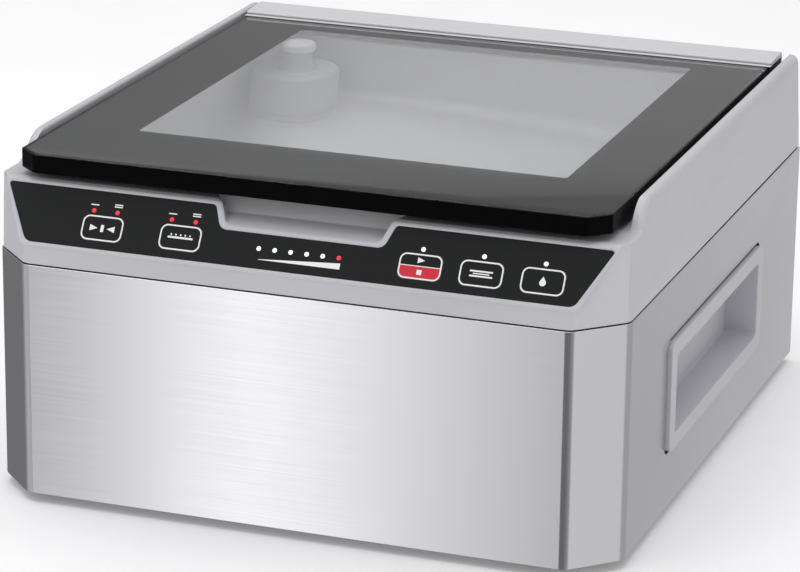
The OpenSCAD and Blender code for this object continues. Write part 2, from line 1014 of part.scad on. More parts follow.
module transformer_coil() {
    color("goldenrod")
        difference() {
            prism_y(60, 136, round_rect(72, 20.3, 128, 59.7, 4));
            box(62, 69.7, 10, 138, 126.3, 19.9);
            box(88.7, 69.7, 10, 111.3, 126.3, 72);
            for (x = [[60, 71.3], [128.7, 140]])
                box(x[0], 69.7, 10, x[1], 126.3, 72);
        }
}

module power_board() {
    color("darkgreen") {
        box(20, -115, 20, 150, 0, 21.6);
        for (x = [28, 142], y = [-107, -8])
            rod_z(base_top, 20, x, y, 3.5);
    }
    color([0.15, 0.15, 0.18]) {
        for (i = [0 : 2])
            rod_z(21.6, 50, 50 + i * 28, -30, 10);
        box(34, -100, 21.6, 60, -82, 42);
        box(68, -100, 21.6, 94, -82, 42);
        for (i = [0 : 5])
            box(108, -100 + i * 7, 21.6, 140, -97 + i * 7, 52);
        box(108, -100, 21.6, 140, -62, 25);
    }
}

module valve_block() {
    color("lightgray") {
        box(-150, -120, base_top, -60, -95, 34);
        rod_y(-127, -119, -110, 22, 3);
        rod_y(-96, -88, -135, 22, 3);
        rod_x(-61, -53, -108, 22, 3);
    }
}

module valve_coils() {
    color([0.1, 0.1, 0.12])
        for (i = [0 : 2])
            translate([-134 + i * 29, -107.5, 0]) {
                rod_z(34, 40, 0, 0, 8);
                box(-12, -12, 40, 12, 12, 66);
                rod_z(66, 70, 0, 0, 4);
            }
}

// Point and direction on a smooth curve with four control points
function curve(p, t) =
    pow(1 - t, 3) * p[0] + 3 * pow(1 - t, 2) * t * p[1] + 3 * (1 - t) * t * t * p[2] + t * t * t * p[3];
function curve_dir(p, t) =
    unit(pow(1 - t, 2) * (p[1] - p[0]) + 2 * (1 - t) * t * (p[2] - p[1]) + t * t * (p[3] - p[2]));

// Round hose of radius r along such a curve; side is a direction never along the hose
module hose(p, r, side) {
    rings = 16;
    sides = 10;
    pts = [for (i = [0 : rings], j = [0 : sides - 1])
        let (
            t = i / rings,
            d = curve_dir(p, t),
            u = unit(cross(d, side)),
            v = cross(d, u),
            a = 360 * j / sides
        )
        curve(p, t) + r * (cos(a) * u + sin(a) * v)];
    walls = [for (i = [0 : rings - 1], j = [0 : sides - 1])
        let (k = (j + 1) % sides)
        [i * sides + j, i * sides + k, (i + 1) * sides + k, (i + 1) * sides + j]];
    low_end = [for (j = [sides - 1 : -1 : 0]) j];
    high_end = [for (j = [0 : sides - 1]) rings * sides + j];
    polyhedron(points = pts, faces = concat(walls, [low_end], [high_end]));
}

module vacuum_hoses() {
    color([0.75, 0.75, 0.72]) {
        hose([[-128.5, 127.5, 127.7], [-128.5, 127.5, 96], [-125, 152, 62], [-125, 118.5, 62]], 4, [1, 0, 0]);
        hose([[-125, 57.5, 62], [-125, 20, 62], [-135, -40, 22], [-135, -87.7, 22]], 4, [1, 0, 0]);
        hose([[-110, -127.3, 22], [-110, -155, 22], [-110, -147, 60], [-110, -147, 103.7]], 3, [1, 0, 0]);
        hose([[-52.7, -108, 22], [-15, -108, 22], [110, -150, 10], [110, -147, 103.7]], 3, [0, 1, 0]);
    }
}

module fan_frame() {
    y1 = panel_y - sheet_t - 0.1;
    hs = fan_size / 2;
    color([0.1, 0.1, 0.1])
        difference() {
            union() {
                difference() {
                    prism_y(y1 - 25, y1, round_rect(fan_x - hs, fan_z - hs, fan_x + hs, fan_z + hs, 4));
                    rod_y(y1 - 30, y1 + 5, fan_x, fan_z, hs - 2.5);
                }
                rod_y(y1 - 25, y1 - 21, fan_x, fan_z, 18);
                for (a = [45, 135])
                    translate([fan_x, y1 - 23, fan_z])
                        rotate([0, a, 0])
                            cube([2 * hs, 3, 5], center = true);
            }
            rod_y(y1 - 30, y1 - 10, fan_x, fan_z, 2 + run_fit);
        }
}

module fan_rotor() {
    y1 = panel_y - sheet_t - 0.1;
    color([0.15, 0.15, 0.15]) {
        rod_y(y1 - 24, y1 - 16, fan_x, fan_z, 2);
        rod_y(y1 - 20, y1 - 3, fan_x, fan_z, 17);
        for (a = [0 : 360 / 7 : 350])
            translate([fan_x, y1 - 11, fan_z])
                rotate([0, a, 0])
                    translate([25.5, 0, 0])
                        rotate([35, 0, 0])
                            cube([20, 15, 1.4], center = true);
    }
}

module mains_inlet() {
    color([0.06, 0.06, 0.06])
        difference() {
            union() {
                prism_y(panel_y, panel_y + 1.8, round_rect(inlet_x - 20, inlet_z - 13, inlet_x + 20, inlet_z + 13, 3));
                box(inlet_x - 13.6, panel_y - 22, inlet_z - 9.6, inlet_x + 13.6, panel_y, inlet_z + 9.6);
            }
            prism_y(panel_y - 16, panel_y + 5, round_rect(inlet_x - 12, inlet_z - 8, inlet_x + 12, inlet_z + 8, 2));
        }
    color("silver")
        for (d = [[-7, -2], [0, 2], [7, -2]])
            box(inlet_x + d[0] - 1, panel_y - 18, inlet_z + d[1] - 2, inlet_x + d[0] + 1, panel_y - 3, inlet_z + d[1] + 2);
}

module switch_housing() {
    color([0.06, 0.06, 0.06])
        difference() {
            union() {
                prism_y(panel_y, panel_y + 1.8, round_rect(switch_x - 12.5, switch_z - 16, switch_x + 12.5, switch_z + 16, 2));
                box(switch_x - 9.6, panel_y - 20, switch_z - 13, switch_x + 9.6, panel_y, switch_z + 13);
            }
            box(switch_x - 8, panel_y - 14, switch_z - 11.5, switch_x + 8, panel_y + 5, switch_z + 11.5);
        }
}

// The rocker turns about an X axis inside its housing and is drawn with its lower half pressed in
module rocker_switch() {
    color([0.12, 0.12, 0.12])
        difference() {
            translate([switch_x, panel_y - 6, switch_z])
                rotate([switch_tilt, 0, 0])
                    prism_x(-7.6, 7.6, rounded([
                        [-4, -4, 1], [3.2, -10, 1], [5.4, 0, 0], [3.2, 10, 1], [-4, 4, 1]
                    ]));
            rod_x(switch_x - 8, switch_x + 8, panel_y - 6, switch_z, 1);
        }
}

steel_wrap();
back_panel();
base_plate();
rubber_feet();
foot_screws();
back_screws();
support_posts();
top_casing();
vacuum_chamber();
filter_housing();
suction_neck();
suction_cap();
seal_bar();
heating_wires();
ptfe_strip();
lift_pistons();
lift_cylinders();
bar_guides();
lid_glass();
border_print();
lid_frame();
lid_gasket();
seal_strip();
lid_magnet();
reed_sensor();
hinge_cover();
hinge_arms();
hinge_pins();
hinge_brackets();
lid_springs();
control_membrane();
key_vacuum();
key_sealing();
key_auto_cancel();
key_seal();
key_marinate();
red_lenses();
white_lenses();
control_board();
tact_switches();
grip_left();
grip_right();
grip_gaskets();
pump_bracket();
pump_mounts();
pump_motor();
pump_crankcase();
pump_heads();
pump_fan_wheel();
transformer_core();
transformer_coil();
power_board();
valve_block();
valve_coils();
vacuum_hoses();
fan_frame();
fan_rotor();
mains_inlet();
switch_housing();
rocker_switch();
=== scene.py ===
"""Looks of the tabletop chamber vacuum sealer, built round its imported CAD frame.

Outlines are in millimetres in the CAD frame and become metres where a mesh is made.
"""

import json
import math

import bmesh
import bpy
from mathutils import Matrix, Vector


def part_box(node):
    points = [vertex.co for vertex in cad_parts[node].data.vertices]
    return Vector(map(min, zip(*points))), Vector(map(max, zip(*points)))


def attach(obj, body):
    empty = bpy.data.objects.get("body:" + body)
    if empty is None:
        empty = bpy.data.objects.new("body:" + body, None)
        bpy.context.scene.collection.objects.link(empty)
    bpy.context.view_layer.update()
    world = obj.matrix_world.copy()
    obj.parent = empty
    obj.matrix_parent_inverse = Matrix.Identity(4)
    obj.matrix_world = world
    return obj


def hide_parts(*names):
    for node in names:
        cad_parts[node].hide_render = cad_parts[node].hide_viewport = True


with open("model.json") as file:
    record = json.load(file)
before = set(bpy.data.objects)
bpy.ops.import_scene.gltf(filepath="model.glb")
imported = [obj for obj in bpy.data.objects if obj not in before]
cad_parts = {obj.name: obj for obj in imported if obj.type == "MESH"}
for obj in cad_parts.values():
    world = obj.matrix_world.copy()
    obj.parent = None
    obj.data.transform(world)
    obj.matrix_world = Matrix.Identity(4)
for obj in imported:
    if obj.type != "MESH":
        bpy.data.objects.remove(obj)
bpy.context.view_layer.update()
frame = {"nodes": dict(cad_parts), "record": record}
RECORD = frame["record"]
NODES = frame["nodes"]
SLOT_OF = {s["node"]: s["material_slot"] for s in RECORD["subparts"]}
BODY_OF = {n: b for b, ns in RECORD["behaviour"]["bodies"].items() for n in ns}
MM = 0.001


def box_mm(node):
    """Lowest and highest corner of a CAD node, in millimetres."""
    low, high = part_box(node)
    return low / MM, high / MM


# ---------- camera and studio ----------

CAMERA_PLACE = (0.7347, -2.0973, 0.8159)
CAMERA_LENS = 163.3
# Camera turn in degrees: round to the left, down, and about its own axis
CAMERA_TURN = (19.51, 17.99, 0.735)


def make_camera():
    """Three-quarter view from the front right, above."""
    yaw, pitch, roll = (math.radians(a) for a in CAMERA_TURN)
    forward = Vector((
        -math.sin(yaw) * math.cos(pitch), math.cos(yaw) * math.cos(pitch), -math.sin(pitch)
    ))
    right = Vector((math.cos(yaw), math.sin(yaw), 0))
    up = right.cross(forward)
    side = right * math.cos(roll) + up * math.sin(roll)
    top = up * math.cos(roll) - right * math.sin(roll)
    data = bpy.data.cameras.new("camera")
    data.lens = CAMERA_LENS
    data.sensor_width = 36
    camera = bpy.data.objects.new("camera", data)
    turn = Matrix((side, top, -forward)).transposed().to_4x4()
    camera.matrix_world = Matrix.Translation(CAMERA_PLACE) @ turn
    bpy.context.collection.objects.link(camera)
    bpy.context.scene.camera = camera


# Brightness round the horizon: (azimuth in degrees from straight in front, to the right positive; level)
HORIZON = [
    (-180, 0.36), (-166, 0.33), (-152, 0.20), (-128, 0.18), (-102, 0.20), (-62, 0.52),
    (-27, 0.42), (-24.2, 0.48), (-22.4, 1.80), (-21.4, 1.80), (-19.8, 0.84), (-18.2, 0.58),
    (-16.4, 0.72), (-15, 0.14), (20, 0.14), (50, 0.30), (66, 0.72), (79, 0.66),
    (94, 0.40), (160, 0.40), (164.2, 0.43), (166.2, 0.60), (170, 0.60), (180, 0.36)
]
ZENITH = 0.92
# How late the ramp turns into the ceiling on the way up
SKY_POWER = 1.7
STUDIO_TINT = (0.985, 0.985, 1.0, 1)


def make_world():
    """Studio surroundings: one ramp of brightness round the horizon, rising to a bright ceiling."""
    world = bpy.data.worlds.new("studio")
    bpy.context.scene.world = world
    world.use_nodes = True
    tree = world.node_tree
    tree.nodes.clear()

    def math_node(operation, a, b=None, c=None):
        node = tree.nodes.new("ShaderNodeMath")
        node.operation = operation
        for socket, value in zip(node.inputs, (a, b, c)):
            if isinstance(value, (int, float)):
                socket.default_value = value
            elif value is not None:
                tree.links.new(value, socket)
        return node.outputs[0]

    coord = tree.nodes.new("ShaderNodeTexCoord")
    parts = tree.nodes.new("ShaderNodeSeparateXYZ")
    tree.links.new(coord.outputs["Generated"], parts.inputs[0])
    x, y, z = parts.outputs
    azimuth = math_node("ARCTAN2", x, math_node("MULTIPLY", y, -1))
    turn = math_node("MULTIPLY_ADD", azimuth, 1 / (2 * math.pi), 0.5)
    ramp = tree.nodes.new("ShaderNodeValToRGB")
    tree.links.new(turn, ramp.inputs[0])
    elements = ramp.color_ramp.elements
    while len(elements) < len(HORIZON):
        elements.new(0.5)
    peak = max(level for _, level in HORIZON)
    for element, (angle, level) in zip(elements, HORIZON):
        element.position = angle / 360 + 0.5
        element.color = (level / peak, level / peak, level / peak, 1)
    ring = math_node("MULTIPLY", ramp.outputs[0], peak)
    up = math_node("POWER", math_node("MAXIMUM", z, 0), SKY_POWER)
    around = math_node("MULTIPLY", ring, math_node("SUBTRACT", 1, up))
    strength = math_node("ADD", around, math_node("MULTIPLY", up, ZENITH))
    background = tree.nodes.new("ShaderNodeBackground")
    background.inputs["Color"].default_value = STUDIO_TINT
    tree.links.new(strength, background.inputs["Strength"])
    output = tree.nodes.new("ShaderNodeOutputWorld")
    tree.links.new(background.outputs[0], output.inputs["Surface"])


# Softboxes: name, place, what they aim at, width and height, watts, and whether glossy faces show them
SOFTBOXES = [
    ("overhead", (-0.3, 0.1, 2.2), (0, 0, 0.1), (2.4, 2.4), 20, True),
    ("front_left", (-1.3, -2.0, 1.5), (0, 0, 0.1), (0.8, 1.2), 3.5, True),
    ("low_fill", (0.1, -2.4, 0.9), (0, -0.1, 0.15), (0.9, 0.5), 3, False),
    ("right_fill", (2.2, -0.5, 0.8), (0, -0.1, 0.15), (0.9, 0.5), 3, False),
]


def make_lights():
    for name, place, target, size, power, mirrored in SOFTBOXES:
        data = bpy.data.lights.new(name, "AREA")
        data.shape = "RECTANGLE"
        data.size, data.size_y = size
        data.energy = power
        softbox = bpy.data.objects.new(name, data)
        softbox.location = place
        aim = Vector(target) - Vector(place)
        softbox.rotation_euler = aim.to_track_quat("-Z", "Y").to_euler()
        softbox.visible_glossy = mirrored
        bpy.context.collection.objects.link(softbox)


# ---------- materials ----------

class Paint:
    """Builds one Principled material with procedural colour, roughness and bump."""

    def __init__(self, name):
        self.material = bpy.data.materials.new(name)
        self.material.use_nodes = True
        self.tree = self.material.node_tree
        self.shader = self.tree.nodes["Principled BSDF"]
        self.coords = self.add("ShaderNodeTexCoord").outputs["Object"]

    def add(self, kind, **settings):
        node = self.tree.nodes.new(kind)
        for key, value in settings.items():
            setattr(node, key, value)
        return node

    def link(self, a, b):
        self.tree.links.new(a, b)

    def set(self, **values):
        for key, value in values.items():
            self.shader.inputs[key.replace("_", " ")].default_value = value

    def noise(self, scale, stretch=(1, 1, 1), detail=3, rough=0.5):
        place = self.add("ShaderNodeMapping")
        place.inputs["Scale"].default_value = stretch
        self.link(self.coords, place.inputs["Vector"])
        noise = self.add("ShaderNodeTexNoise")
        noise.inputs["Scale"].default_value = scale
        noise.inputs["Detail"].default_value = detail
        noise.inputs["Roughness"].default_value = rough
        self.link(place.outputs["Vector"], noise.inputs["Vector"])
        return noise.outputs["Fac"]

    def spread(self, value, low, high, from_low=0.3, from_high=0.7):
        ramp = self.add("ShaderNodeMapRange")
        ramp.inputs["From Min"].default_value = from_low
        ramp.inputs["From Max"].default_value = from_high
        ramp.inputs["To Min"].default_value = low
        ramp.inputs["To Max"].default_value = high
        self.link(value, ramp.inputs["Value"])
        return ramp.outputs["Result"]

    def blend(self, factor, colour_a, colour_b):
        mix = self.add("ShaderNodeMix", data_type="RGBA")
        self.link(factor, mix.inputs[0])
        for socket, colour in ((mix.inputs[6], colour_a), (mix.inputs[7], colour_b)):
            if isinstance(colour, tuple):
                socket.default_value = (*colour, 1)
            else:
                self.link(colour, socket)
        return mix.outputs[2]

    def bump(self, height, strength, distance):
        node = self.add("ShaderNodeBump")
        node.inputs["Strength"].default_value = strength
        node.inputs["Distance"].default_value = distance
        self.link(height, node.inputs["Height"])
        return node.outputs["Normal"]

    def edges(self, low=0.51, high=0.56):
        """0 on flats, 1 on worn outer edges."""
        geometry = self.add("ShaderNodeNewGeometry")
        return self.spread(geometry.outputs["Pointiness"], 0, 1, low, high)

    def finish(self, colour=None, roughness=None, normal=None):
        if colour is not None:
            self.link(colour, self.shader.inputs["Base Color"])
        if roughness is not None:
            self.link(roughness, self.shader.inputs["Roughness"])
        if normal is not None:
            self.link(normal, self.shader.inputs["Normal"])
        return self.material


def tint(colour, gain):
    return tuple(min(max(c * gain, 0), 1) for c in colour)


def brushed(name, colour, rough=0.21, line=(5, 5, 900), contrast=0.05, aniso=1.0):
    """Sheet steel with fine horizontal brush lines, faint bands and handling marks."""
    p = Paint(name)
    fine = p.noise(1, line, detail=4, rough=0.65)
    broad = p.noise(1, (1.2, 1.2, line[2] * 0.3), detail=2, rough=0.5)
    cloud = p.noise(6, detail=3)
    base = p.blend(p.spread(fine, 0, 1), tint(colour, 1 - contrast), tint(colour, 1 + contrast))
    banded = p.blend(p.spread(broad, 0, 0.4), base, tint(colour, 1 + contrast * 0.6))
    worn = p.blend(p.edges(), banded, tint(colour, 1.15))
    mixed = p.add("ShaderNodeMath", operation="ADD")
    p.link(p.spread(fine, rough - 0.03, rough + 0.03), mixed.inputs[0])
    p.link(p.spread(cloud, -0.02, 0.02), mixed.inputs[1])
    p.set(Metallic=1.0, Anisotropic=aniso, Anisotropic_Rotation=0.25)
    tangent = p.add("ShaderNodeTangent", direction_type="RADIAL", axis="Z")
    p.link(tangent.outputs["Tangent"], p.shader.inputs["Tangent"])
    return p.finish(worn, mixed.outputs[0], p.bump(fine, 0.01, 0.00001))


def satin_metal(name, colour, rough=0.35, grain=900, contrast=0.05, wear=1.15):
    p = Paint(name)
    speck = p.noise(grain, detail=2)
    cloud = p.noise(18, detail=4)
    base = p.blend(p.spread(cloud, 0, 1), tint(colour, 1 - contrast), tint(colour, 1 + contrast))
    worn = p.blend(p.edges(), base, tint(colour, wear))
    p.set(Metallic=1.0)
    return p.finish(worn, p.spread(speck, rough - 0.06, rough + 0.06), p.bump(speck, 0.12, 0.00005))


def moulded(name, colour, rough=0.42, grain=1600, bump=0.25, contrast=0.03, wear=1.08, coat=0.0,
            specular=0.5):
    """Moulded plastic: fine spark-eroded texture, slight colour drift, edges rubbed smooth."""
    p = Paint(name)
    speck = p.noise(grain, detail=2)
    drift = p.noise(9, detail=3)
    base = p.blend(p.spread(drift, 0, 1), tint(colour, 1 - contrast), tint(colour, 1 + contrast))
    worn = p.blend(p.edges(0.505, 0.57), base, tint(colour, wear))
    p.set(Coat_Weight=coat, Specular_IOR_Level=specular)
    return p.finish(worn, p.spread(speck, rough - 0.05, rough + 0.05), p.bump(speck, bump, 0.00004))


def rubbery(name, colour, rough=0.75):
    p = Paint(name)
    speck = p.noise(700, detail=4)
    dust = p.noise(30, detail=4)
    base = p.blend(p.spread(dust, 0, 1, 0.4, 0.75), colour, tint(colour, 1.8))
    p.set(Specular_IOR_Level=0.3)
    return p.finish(base, p.spread(speck, rough - 0.08, rough + 0.08), p.bump(speck, 0.3, 0.0001))


def glassy(name, colour):
    """Clear tempered glass; a faint smear pattern lives in its roughness."""
    p = Paint(name)
    smear = p.noise(7, (1, 0.4, 1), detail=5)
    p.set(Transmission_Weight=1.0, IOR=1.46, Base_Color=(*colour, 1))
    return p.finish(roughness=p.spread(smear, 0.0, 0.012, 0.45, 0.8))


def misted(name, colour, share):
    """Thin milky film: part of what is behind shows through."""
    p = Paint(name)
    cloud = p.noise(9, detail=4)
    base = p.blend(p.spread(cloud, 0, 1), tint(colour, 0.97), tint(colour, 1.03))
    p.set(Alpha=share, Specular_IOR_Level=0.0)
    return p.finish(base, p.spread(cloud, 0.6, 0.7))


def lamp_lens(name, colour, strength):
    p = Paint(name)
    cell = p.noise(900, detail=1)
    glow = p.blend(p.spread(cell, 0, 1), tint(colour, 0.85), tint(colour, 1.0))
    p.set(Emission_Color=(*colour, 1), Emission_Strength=strength, Coat_Weight=0.5)
    return p.finish(glow, p.spread(cell, 0.15, 0.25))


def woven(name, colour):
    p = Paint(name)
    wave = p.add("ShaderNodeTexWave", wave_type="BANDS", bands_direction="X")
    wave.inputs["Scale"].default_value = 500
    across = p.add("ShaderNodeTexWave", wave_type="BANDS", bands_direction="Y")
    across.inputs["Scale"].default_value = 500
    p.link(p.coords, wave.inputs["Vector"])
    p.link(p.coords, across.inputs["Vector"])
    both = p.add("ShaderNodeMath", operation="MULTIPLY")
    p.link(wave.outputs["Fac"], both.inputs[0])
    p.link(across.outputs["Fac"], both.inputs[1])
    base = p.blend(both.outputs[0], tint(colour, 0.8), tint(colour, 1.15))
    return p.finish(base, p.spread(both.outputs[0], 0.35, 0.5), p.bump(both.outputs[0], 0.3, 0.00005))


MATERIALS = {
    "brushed_steel": brushed("brushed_steel", (0.71, 0.71, 0.73)),
    "back_sheet": brushed("back_sheet", (0.60, 0.60, 0.61), 0.34, (3, 3, 420), 0.04, 0.6),
    "base_sheet": satin_metal("base_sheet", (0.42, 0.43, 0.44), 0.5, 60, 0.18),
    "rubber_black": rubbery("rubber_black", (0.022, 0.022, 0.023)),
    "zinc_screw": satin_metal("zinc_screw", (0.62, 0.63, 0.65), 0.3),
    "aluminium_part": satin_metal("aluminium_part", (0.74, 0.74, 0.76), 0.33),
    "cast_aluminium": satin_metal("cast_aluminium", (0.58, 0.58, 0.6), 0.5, 350, 0.1),
    "silver_plastic": moulded("silver_plastic", (0.55, 0.55, 0.58), 0.45, specular=0.35),
    "cover_plastic": moulded("cover_plastic", (0.63, 0.63, 0.65), 0.36),
    "chamber_steel": satin_metal("chamber_steel", (0.76, 0.76, 0.78), 0.62, 1200, 0.03),
    "light_grey_plastic": moulded("light_grey_plastic", (0.55, 0.55, 0.57), 0.35),
    "white_plastic": moulded("white_plastic", (0.8, 0.8, 0.82), 0.25, coat=0.3),
    "heating_wire": satin_metal("heating_wire", (0.55, 0.47, 0.38), 0.3),
    "ptfe_tape": woven("ptfe_tape", (0.42, 0.28, 0.14)),
    "black_plastic": moulded("black_plastic", (0.016, 0.016, 0.018), 0.45, 900),
    "black_gloss": moulded("black_gloss", (0.0015, 0.0015, 0.0016), 0.4, 300, 0.03, specular=0.05),
    "black_print": moulded("black_print", (0.002, 0.002, 0.002), 0.5, 200, 0.02, specular=0.02),
    "clear_glass": glassy("clear_glass", (0.97, 0.975, 0.975)),
    "silicone_red": rubbery("silicone_red", (0.42, 0.05, 0.045), 0.6),
    "membrane_dark": moulded("membrane_dark", (0.0145, 0.015, 0.0148), 0.45, 2200, 0.12, specular=0.12),
    "lens_red": lamp_lens("lens_red", (0.85, 0.012, 0.03), 0.55),
    "lens_white": lamp_lens("lens_white", (1.0, 1.0, 1.0), 0.5),
    "circuit_green": moulded("circuit_green", (0.015, 0.12, 0.045), 0.3, 250, coat=0.4),
    "motor_paint": moulded("motor_paint", (0.05, 0.055, 0.06), 0.35, 500, coat=0.2),
    "core_steel": brushed("core_steel", (0.22, 0.22, 0.23), 0.45, (900, 2, 2), 0.3, 0.2),
    "coil_tape": moulded("coil_tape", (0.6, 0.4, 0.05), 0.3, 120),
    "hose_silicone": rubbery("hose_silicone", (0.5, 0.5, 0.47), 0.4),
}
PRINT_WHITE = moulded("print_white", (0.86, 0.86, 0.86), 0.5, 2400, 0.08)
PRINT_RED = moulded("print_red", (0.62, 0.012, 0.03), 0.45, 2400, 0.08)
WINDOW_FILM = misted("window_film", (0.42, 0.42, 0.435), 0.22)
FLOOR_GLOW = 0.1


def floor_paint():
    """Pale paint with a faint glow, which keeps the floor light all over."""
    material = moulded("floor_paint", (0.95, 0.95, 0.952), 0.7, 40, 0.02, 0.01)
    shader = material.node_tree.nodes["Principled BSDF"]
    shader.inputs["Emission Color"].default_value = (1, 1, 1, 1)
    shader.inputs["Emission Strength"].default_value = FLOOR_GLOW
    return material


def dress_cad_nodes():
    """Gives every CAD node that stays the material of its slot."""
    for name, obj in NODES.items():
        material = MATERIALS[SLOT_OF[name]]
        if not obj.data.materials:
            obj.data.materials.append(material)
        for slot in obj.material_slots:
            slot.material = material


# ---------- outlines ----------

def arc_corner(before, corner, after, radius, steps):
    """Points of the arc that rounds one corner between its two neighbours."""
    a = (Vector(before) - Vector(corner)).normalized()
    b = (Vector(after) - Vector(corner)).normalized()
    half = a.angle(b) / 2
    centre = Vector(corner) + (a + b).normalized() * radius / math.sin(half)
    start = Vector(corner) + a * radius / math.tan(half) - centre
    end = Vector(corner) + b * radius / math.tan(half) - centre
    first = math.atan2(start.y, start.x)
    turn = (math.atan2(end.y, end.x) - first + 3 * math.pi) % (2 * math.pi) - math.pi
    angles = [first + turn * i / steps for i in range(steps + 1)]
    return [(centre.x + radius * math.cos(a), centre.y + radius * math.sin(a)) for a in angles]


def rounded(corners, steps=8):
    """Outline with each corner given as (x, y, radius)."""
    points = []
    count = len(corners)
    for i, (x, y, radius) in enumerate(corners):
        if radius <= 0:
            points.append((x, y))
            continue
        before = corners[i - 1][:2]
        after = corners[(i + 1) % count][:2]
        points += arc_corner(before, (x, y), after, radius, steps)
    return points


def round_rect(x0, y0, x1, y1, radius, steps=8):
    return rounded([(x0, y0, radius), (x1, y0, radius), (x1, y1, radius), (x0, y1, radius)], steps)


def circle(x, y, radius, steps=32):
    angles = [2 * math.pi * i / steps for i in range(steps)]
    return [(x + radius * math.cos(a), y + radius * math.sin(a)) for a in angles]


def quarter(steps):
    """Sine and cosine at equal steps through a quarter turn."""
    angles = [math.radians(90 * i / steps) for i in range(steps + 1)]
    return [(math.sin(a), math.cos(a)) for a in angles]


# ---------- placing outlines in space ----------

def flat(u, v, w):
    """Outline seen from above."""
    return (u, v, w)


def side(u, v, w):
    """Outline seen from the side: u to the rear, v up."""
    return (w, u, v)


def rear(u, v, w):
    """Upright outline across the width: u across, v up."""
    return (u, w, v)


LEAN = math.radians(32)
BEZEL_TOP = Vector((0, -193.7, 196.8))


def bezel(u, v, w):
    """u across, v down the slope, w out of the face."""
    down = Vector((0, -math.sin(LEAN), -math.cos(LEAN)))
    out = Vector((0, -math.cos(LEAN), math.sin(LEAN)))
    return tuple(BEZEL_TOP + Vector((u, 0, 0)) + down * v + out * w)


# ---------- mesh helpers ----------

def new_object(name, mesh, material):
    obj = bpy.data.objects.new(name, mesh)
    bpy.context.collection.objects.link(obj)
    mesh.materials.clear()
    mesh.materials.append(material)
    return obj


def finished(name, bm, material):
    """Makes the object of a built mesh, with its faces pointing outward."""
    bmesh.ops.remove_doubles(bm, verts=bm.verts, dist=1e-7)
    bmesh.ops.recalc_face_normals(bm, faces=bm.faces)
    mesh = bpy.data.meshes.new(name)
    bm.to_mesh(mesh)
    bm.free()
    return new_object(name, mesh, material)


def add_loops(bm, rings):
    """One closed loop of vertices per ring of points in millimetres."""
    return [[bm.verts.new(Vector(point) * MM) for point in ring] for ring in rings]


def skin(bm, loops, closed=False):
    """Faces between neighbouring loops, and from the last to the first if closed."""
    following = loops[1:] + loops[:1] if closed else loops[1:]
    count = len(loops[0])
    for a, b in zip(loops, following):
        for i in range(count):
            j = (i + 1) % count
            bm.faces.new((a[i], a[j], b[j], b[i]))


def prism(name, outline, w0, w1, place, material=None):
    """Closed solid: the outline swept from w0 to w1 along the third axis of place."""
    bm = bmesh.new()
    loops = add_loops(bm, [[place(u, v, w) for u, v in outline] for w in (w0, w1)])
    bm.faces.new(loops[0])
    bm.faces.new(loops[1])
    skin(bm, loops)
    return finished(name, bm, material or PRINT_WHITE)


def ring_prism(name, outer, inner, w0, w1, place, material):
    """Solid band between two outlines with the same number of points."""
    bm = bmesh.new()
    corners = ((outer, w0), (outer, w1), (inner, w1), (inner, w0))
    loops = add_loops(bm, [[place(u, v, w) for u, v in outline] for outline, w in corners])
    skin(bm, loops, closed=True)
    return finished(name, bm, material)


def loft(name, rings, material, smooth=35):
    """Closed solid through rings of (x, y, z) points of equal count, capped at both ends."""
    bm = bmesh.new()
    loops = add_loops(bm, rings)
    skin(bm, loops)
    bm.faces.new(loops[0])
    bm.faces.new(loops[-1])
    obj = finished(name, bm, material)
    soften(obj, smooth)
    return obj


def revolve(name, profile, centre, material, steps=64):
    """Solid of revolution about a vertical axis; profile is (radius, z) from bottom to top."""
    rings = [
        [(centre[0] + x, centre[1] + y, z) for x, y in circle(0, 0, max(r, 0.01), steps)]
        for r, z in profile
    ]
    return loft(name, rings, material)


def box_solid(name, low, high):
    outline = [(low[0], low[1]), (high[0], low[1]), (high[0], high[1]), (low[0], high[1])]
    return prism(name, outline, low[2], high[2], flat)


def boolean(obj, other, operation):
    """Applies one exact boolean and removes the tool object."""
    modifier = obj.modifiers.new("cut", "BOOLEAN")
    modifier.operation = operation
    modifier.solver = "EXACT"
    modifier.object = other
    bpy.context.view_layer.update()
    result = bpy.data.meshes.new_from_object(obj.evaluated_get(bpy.context.evaluated_depsgraph_get()))
    obj.modifiers.clear()
    old = obj.data
    material = old.materials[0]
    obj.data = result
    result.materials.clear()
    result.materials.append(material)
    bpy.data.meshes.remove(old)
    bpy.data.objects.remove(other)
    for polygon in result.polygons:
        polygon.material_index = 0
    return obj


def cut(obj, other):
    return boolean(obj, other, "DIFFERENCE")


def weld(obj, other):
    return boolean(obj, other, "UNION")


def overlap(obj, other):
    return boolean(obj, other, "INTERSECT")


def soften(obj, angle=35):
    """Smooth shading, broken where faces meet at more than the angle."""
    obj.data.shade_smooth()
    obj.data.set_sharp_from_angle(angle=math.radians(angle))


def bevelled(obj, width, segments=3, limit=32):
    """Small rounded edges on every sharp edge, with flat faces kept flat."""
    obj.data.shade_smooth()
    bevel = obj.modifiers.new("bevel", "BEVEL")
    bevel.width = width * MM
    bevel.segments = segments
    bevel.limit_method = "ANGLE"
    bevel.angle_limit = math.radians(limit)
    bevel.miter_outer = "MITER_ARC"
    bevel.use_clamp_overlap = True
    normals = obj.modifiers.new("normals", "WEIGHTED_NORMAL")
    normals.keep_sharp = True
    normals.weight = 80


def place_piece(obj, node=None, body=None, replaces=()):
    """Binds a new piece to its CAD body, and hides the CAD nodes it stands for."""
    body = body or BODY_OF[node]
    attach(obj, body)
    if replaces:
        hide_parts(*replaces)
    return obj


# ---------- shell ----------

shell_low, shell_high = box_mm("steel_wrap")
HALF_W = shell_high.x
HALF_D = shell_high.y
CORNER = 28
BEND = 9
SHEET = 1.2
# How much a chamfer's leg shortens for each millimetre the outline is inset
LEG_SHIFT = 0.586
